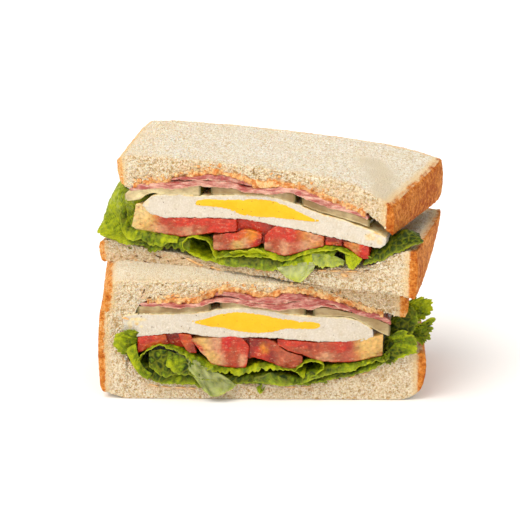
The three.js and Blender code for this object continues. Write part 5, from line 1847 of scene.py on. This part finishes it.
def make_bits(half, materials):
    draw = random.Random(7 if half == "upper" else 11)
    for kind, bits in BITS[half].items():
        places = [(x, -out, z, rx, 0.5 * min(rx, rz) + 0.1, rz, turn) for x, z, rx, rz, turn, out in bits]
        lumps(f"{half}_{kind}_bits", half, places, materials[kind], 130)
    white = HALVES[half]["white"]
    low, high = through(white["low"]), through(white["high"])
    pepper = []
    for _ in range(PEPPER_COUNT):
        x = draw.uniform(white["low"][0][0] + 3, white["low"][-1][0] - 3)
        z = mix(float(low(x)), float(high(x)), draw.uniform(0.12, 0.9))
        size = draw.uniform(0.08, 0.17)
        pepper.append((x, -0.18, z, size * draw.uniform(1, 1.6), 0.1, size, draw.uniform(-1.5, 1.5)))
    lumps(f"{half}_pepper", half, pepper, materials["pepper"], 131, 1)
    crumbs = []
    for _ in range(CRUMB_COUNT):
        part = draw.choice(("bread_bottom", "bread_top"))
        s = HALVES[half][part]
        x = draw.uniform(-52, 50)
        edge = through(s["high" if part == "bread_bottom" else "low"])
        inwards = draw.random() ** 1.5 * 3.4
        z = float(edge(x)) + (inwards if part == "bread_top" else -inwards)
        size = draw.uniform(0.16, 0.36)
        wide, turn = size * draw.uniform(1, 1.7), draw.uniform(-1.5, 1.5)
        crumbs.append((x, -0.05, max(z, 0.6), wide, size, size, turn))
    lumps(f"{half}_crumbs", half, crumbs, materials["crumb"], 132, 1)


# ---- Stage ----


def make_floor(stage):
    bm = bmesh.new()
    bmesh.ops.create_grid(bm, x_segments=4, y_segments=4, size=4)
    mesh = bpy.data.meshes.new("floor")
    bm.to_mesh(mesh)
    bm.free()
    t = Tree("white board")
    colour = t.blend(t.range(t.noise(3, 2), 0.3, 0.7, 0.0, 0.3), stage.floor, tint("ffffff"))
    mesh.materials.append(t.finish(colour, 0.9, gloss=0.1))
    floor = bpy.data.objects.new("floor", mesh)
    bpy.context.scene.collection.objects.link(floor)


def look_at(thing, place, target):
    thing.location = place
    thing.rotation_euler = (Vector(target) - Vector(place)).to_track_quat("-Z", "Y").to_euler()


VIEW_TARGET = (-1.45, 30.0, 44.5)  # what the camera aims at, in the lower half's frame
SENSOR = 36.0


def make_camera(stage):
    target = Vector(in_frame("lower", np.array([VIEW_TARGET]))[0])
    a, e = stage.azimuth, stage.elevation
    back = Vector((math.sin(a) * math.cos(e), -math.cos(a) * math.cos(e), math.sin(e)))
    data = bpy.data.cameras.new("camera")
    data.sensor_width = SENSOR
    data.lens = SENSOR * stage.distance / stage.view_width
    camera = bpy.data.objects.new("camera", data)
    look_at(camera, target + back * stage.distance, target)
    bpy.context.scene.collection.objects.link(camera)
    bpy.context.scene.camera = camera


SURROUND_COLOUR = (1, 0.99, 0.975, 1)
KEY_PLACE, KEY_COLOUR = (-0.42, -0.38, 0.84), (1.0, 0.965, 0.91)
KEY_SPREAD = math.radians(45)  # a wide sun, for soft shadows
FILL_PLACE, FILL_TARGET = (0.35, -0.8, 0.35), (0, 0, 0.04)
FILL_WIDTH = 0.5


def make_lights(stage):
    world = bpy.data.worlds.new("studio")
    world.use_nodes = True
    background = world.node_tree.nodes["Background"]
    background.inputs["Color"].default_value = SURROUND_COLOUR
    background.inputs["Strength"].default_value = stage.surround
    bpy.context.scene.world = world
    key = bpy.data.lights.new("key", "SUN")
    key.energy, key.angle, key.color = stage.key, KEY_SPREAD, KEY_COLOUR
    lamp = bpy.data.objects.new("key", key)
    look_at(lamp, KEY_PLACE, (0, 0, 0))
    bpy.context.scene.collection.objects.link(lamp)
    soft = bpy.data.lights.new("fill", "AREA")
    soft.energy, soft.size = stage.fill, FILL_WIDTH
    panel = bpy.data.objects.new("fill", soft)
    look_at(panel, FILL_PLACE, FILL_TARGET)
    bpy.context.scene.collection.objects.link(panel)


# ---- Operators ----


def numbered(kind):
    """Each half with the number of each of its layers of one kind."""
    return [(half, number) for half in HALVES for number in range(len(HALVES[half][kind]))]


class SandwichOperator:
    """Makes one group of pieces from the scene's settings."""

    bl_options = {"REGISTER", "UNDO"}

    def execute(self, context):
        scene = context.scene
        self.make(scene.sandwich_sizes, scene.sandwich_colours)
        return {"FINISHED"}


class SANDWICH_OT_bread(SandwichOperator, bpy.types.Operator):
    """Makes the four slices of bread"""

    bl_idname = "sandwich.bread"
    bl_label = "Bread"

    def make(self, sizes, colours):
        material = bread_material(colours)
        for half in HALVES:
            for part in ("bread_bottom", "bread_top"):
                make_slice(f"{half}_{part}_slice", half, part, sizes, material)


class SANDWICH_OT_sauce(SandwichOperator, bpy.types.Operator):
    """Makes the dressing between the ham and the top slices"""

    bl_idname = "sandwich.sauce"
    bl_label = "Sauce"

    def make(self, sizes, colours):
        material = sauce_material(colours)
        for half in HALVES:
            make_sauce(half, material)
            make_sauce_dabs(half, material)


class SANDWICH_OT_ham(SandwichOperator, bpy.types.Operator):
    """Makes the layers of ham"""

    bl_idname = "sandwich.ham"
    bl_label = "Ham"

    def make(self, sizes, colours):
        material = ham_material(colours)
        for half, number in numbered("ham"):
            make_ham(half, number, sizes, material)


class SANDWICH_OT_pickles(SandwichOperator, bpy.types.Operator):
    """Makes the pickle slices"""

    bl_idname = "sandwich.pickles"
    bl_label = "Pickles"

    def make(self, sizes, colours):
        material = pickle_material(colours)
        for half, number in numbered("pickles"):
            make_pickle(half, number, sizes, material)


class SANDWICH_OT_egg(SandwichOperator, bpy.types.Operator):
    """Makes the whites and yolks of the fried eggs"""

    bl_idname = "sandwich.egg"
    bl_label = "Egg"

    def make(self, sizes, colours):
        white, yolk = white_material(colours), yolk_material(colours)
        for half in HALVES:
            make_white(half, sizes, white)
            make_yolk(half, sizes, yolk)


class SANDWICH_OT_tomato(SandwichOperator, bpy.types.Operator):
    """Makes the pieces of tomato"""

    bl_idname = "sandwich.tomato"
    bl_label = "Tomato"

    def make(self, sizes, colours):
        material = tomato_material()
        for half, number in numbered("tomatoes"):
            make_tomato(half, number, sizes, material)


class SANDWICH_OT_lettuce(SandwichOperator, bpy.types.Operator):
    """Makes the leaves of lettuce"""

    bl_idname = "sandwich.lettuce"
    bl_label = "Lettuce"

    def make(self, sizes, colours):
        material = leaf_material(colours)
        seed = 200
        for half, leaves in LEAVES.items():
            for name, leaf in leaves.items():
                make_leaf(half, name, leaf, sizes, material, seed)
                seed += 10


class SANDWICH_OT_bits(SandwichOperator, bpy.types.Operator):
    """Makes the crumbs, pepper and scraps on the cut faces"""

    bl_idname = "sandwich.bits"
    bl_label = "Small bits"

    def make(self, sizes, colours):
        materials = {
            "browned": plain_material("browned bits", "8a5a1e", "4a3008", 900, 0.6),
            "dressing": plain_material("dressing drips", "f5cf98", "dc9a50", 700, 0.35),
            "green": plain_material("leaf scraps", "94a010", "3c4a04", 700, 0.4),
            "pepper": plain_material("pepper", "8a5c2a", "4c3418", 1500, 0.7),
            "crumb": plain_material("loose crumbs", "fff0d0", "e0bb80", 900, 0.9),
        }
        for half in HALVES:
            make_bits(half, materials)


class SANDWICH_OT_stage(bpy.types.Operator):
    """Makes the floor, the light and the camera"""

    bl_idname = "sandwich.stage"
    bl_label = "Stage"
    bl_options = {"REGISTER", "UNDO"}

    def execute(self, context):
        stage = context.scene.sandwich_stage
        make_floor(stage)
        make_lights(stage)
        make_camera(stage)
        context.scene.view_settings.view_transform = "Standard"
        return {"FINISHED"}


OPERATORS = (
    SANDWICH_OT_bread,
    SANDWICH_OT_sauce,
    SANDWICH_OT_ham,
    SANDWICH_OT_pickles,
    SANDWICH_OT_egg,
    SANDWICH_OT_tomato,
    SANDWICH_OT_lettuce,
    SANDWICH_OT_bits,
    SANDWICH_OT_stage,
)


class SANDWICH_PT_panel(bpy.types.Panel):
    """Lists the pieces, and the sizes and colours they are made from"""

    bl_idname = "SANDWICH_PT_panel"
    bl_label = "Cut Sandwich"
    bl_space_type = "VIEW_3D"
    bl_region_type = "UI"
    bl_category = "Sandwich"

    def draw(self, context):
        column = self.layout.column(align=True)
        for operator in OPERATORS:
            column.operator(operator.bl_idname)
        for group in GROUPS:
            box = self.layout.box()
            box.label(text=group)
            settings = getattr(context.scene, group)
            for name in settings.__annotations__:
                box.prop(settings, name)


GROUPS = {
    "sandwich_sizes": SandwichSizes,
    "sandwich_colours": SandwichColours,
    "sandwich_stage": SandwichStage,
}
CLASSES = (*GROUPS.values(), *OPERATORS, SANDWICH_PT_panel)


def register():
    for item in CLASSES:
        bpy.utils.register_class(item)
    for name, group in GROUPS.items():
        setattr(bpy.types.Scene, name, bpy.props.PointerProperty(type=group))


def unregister():
    for name in GROUPS:
        delattr(bpy.types.Scene, name)
    for item in reversed(CLASSES):
        bpy.utils.unregister_class(item)


def main():
    register()
    for operator in OPERATORS:
        family, name = operator.bl_idname.split(".")
        getattr(getattr(bpy.ops, family), name)()


if __name__ == "__main__":
    main()
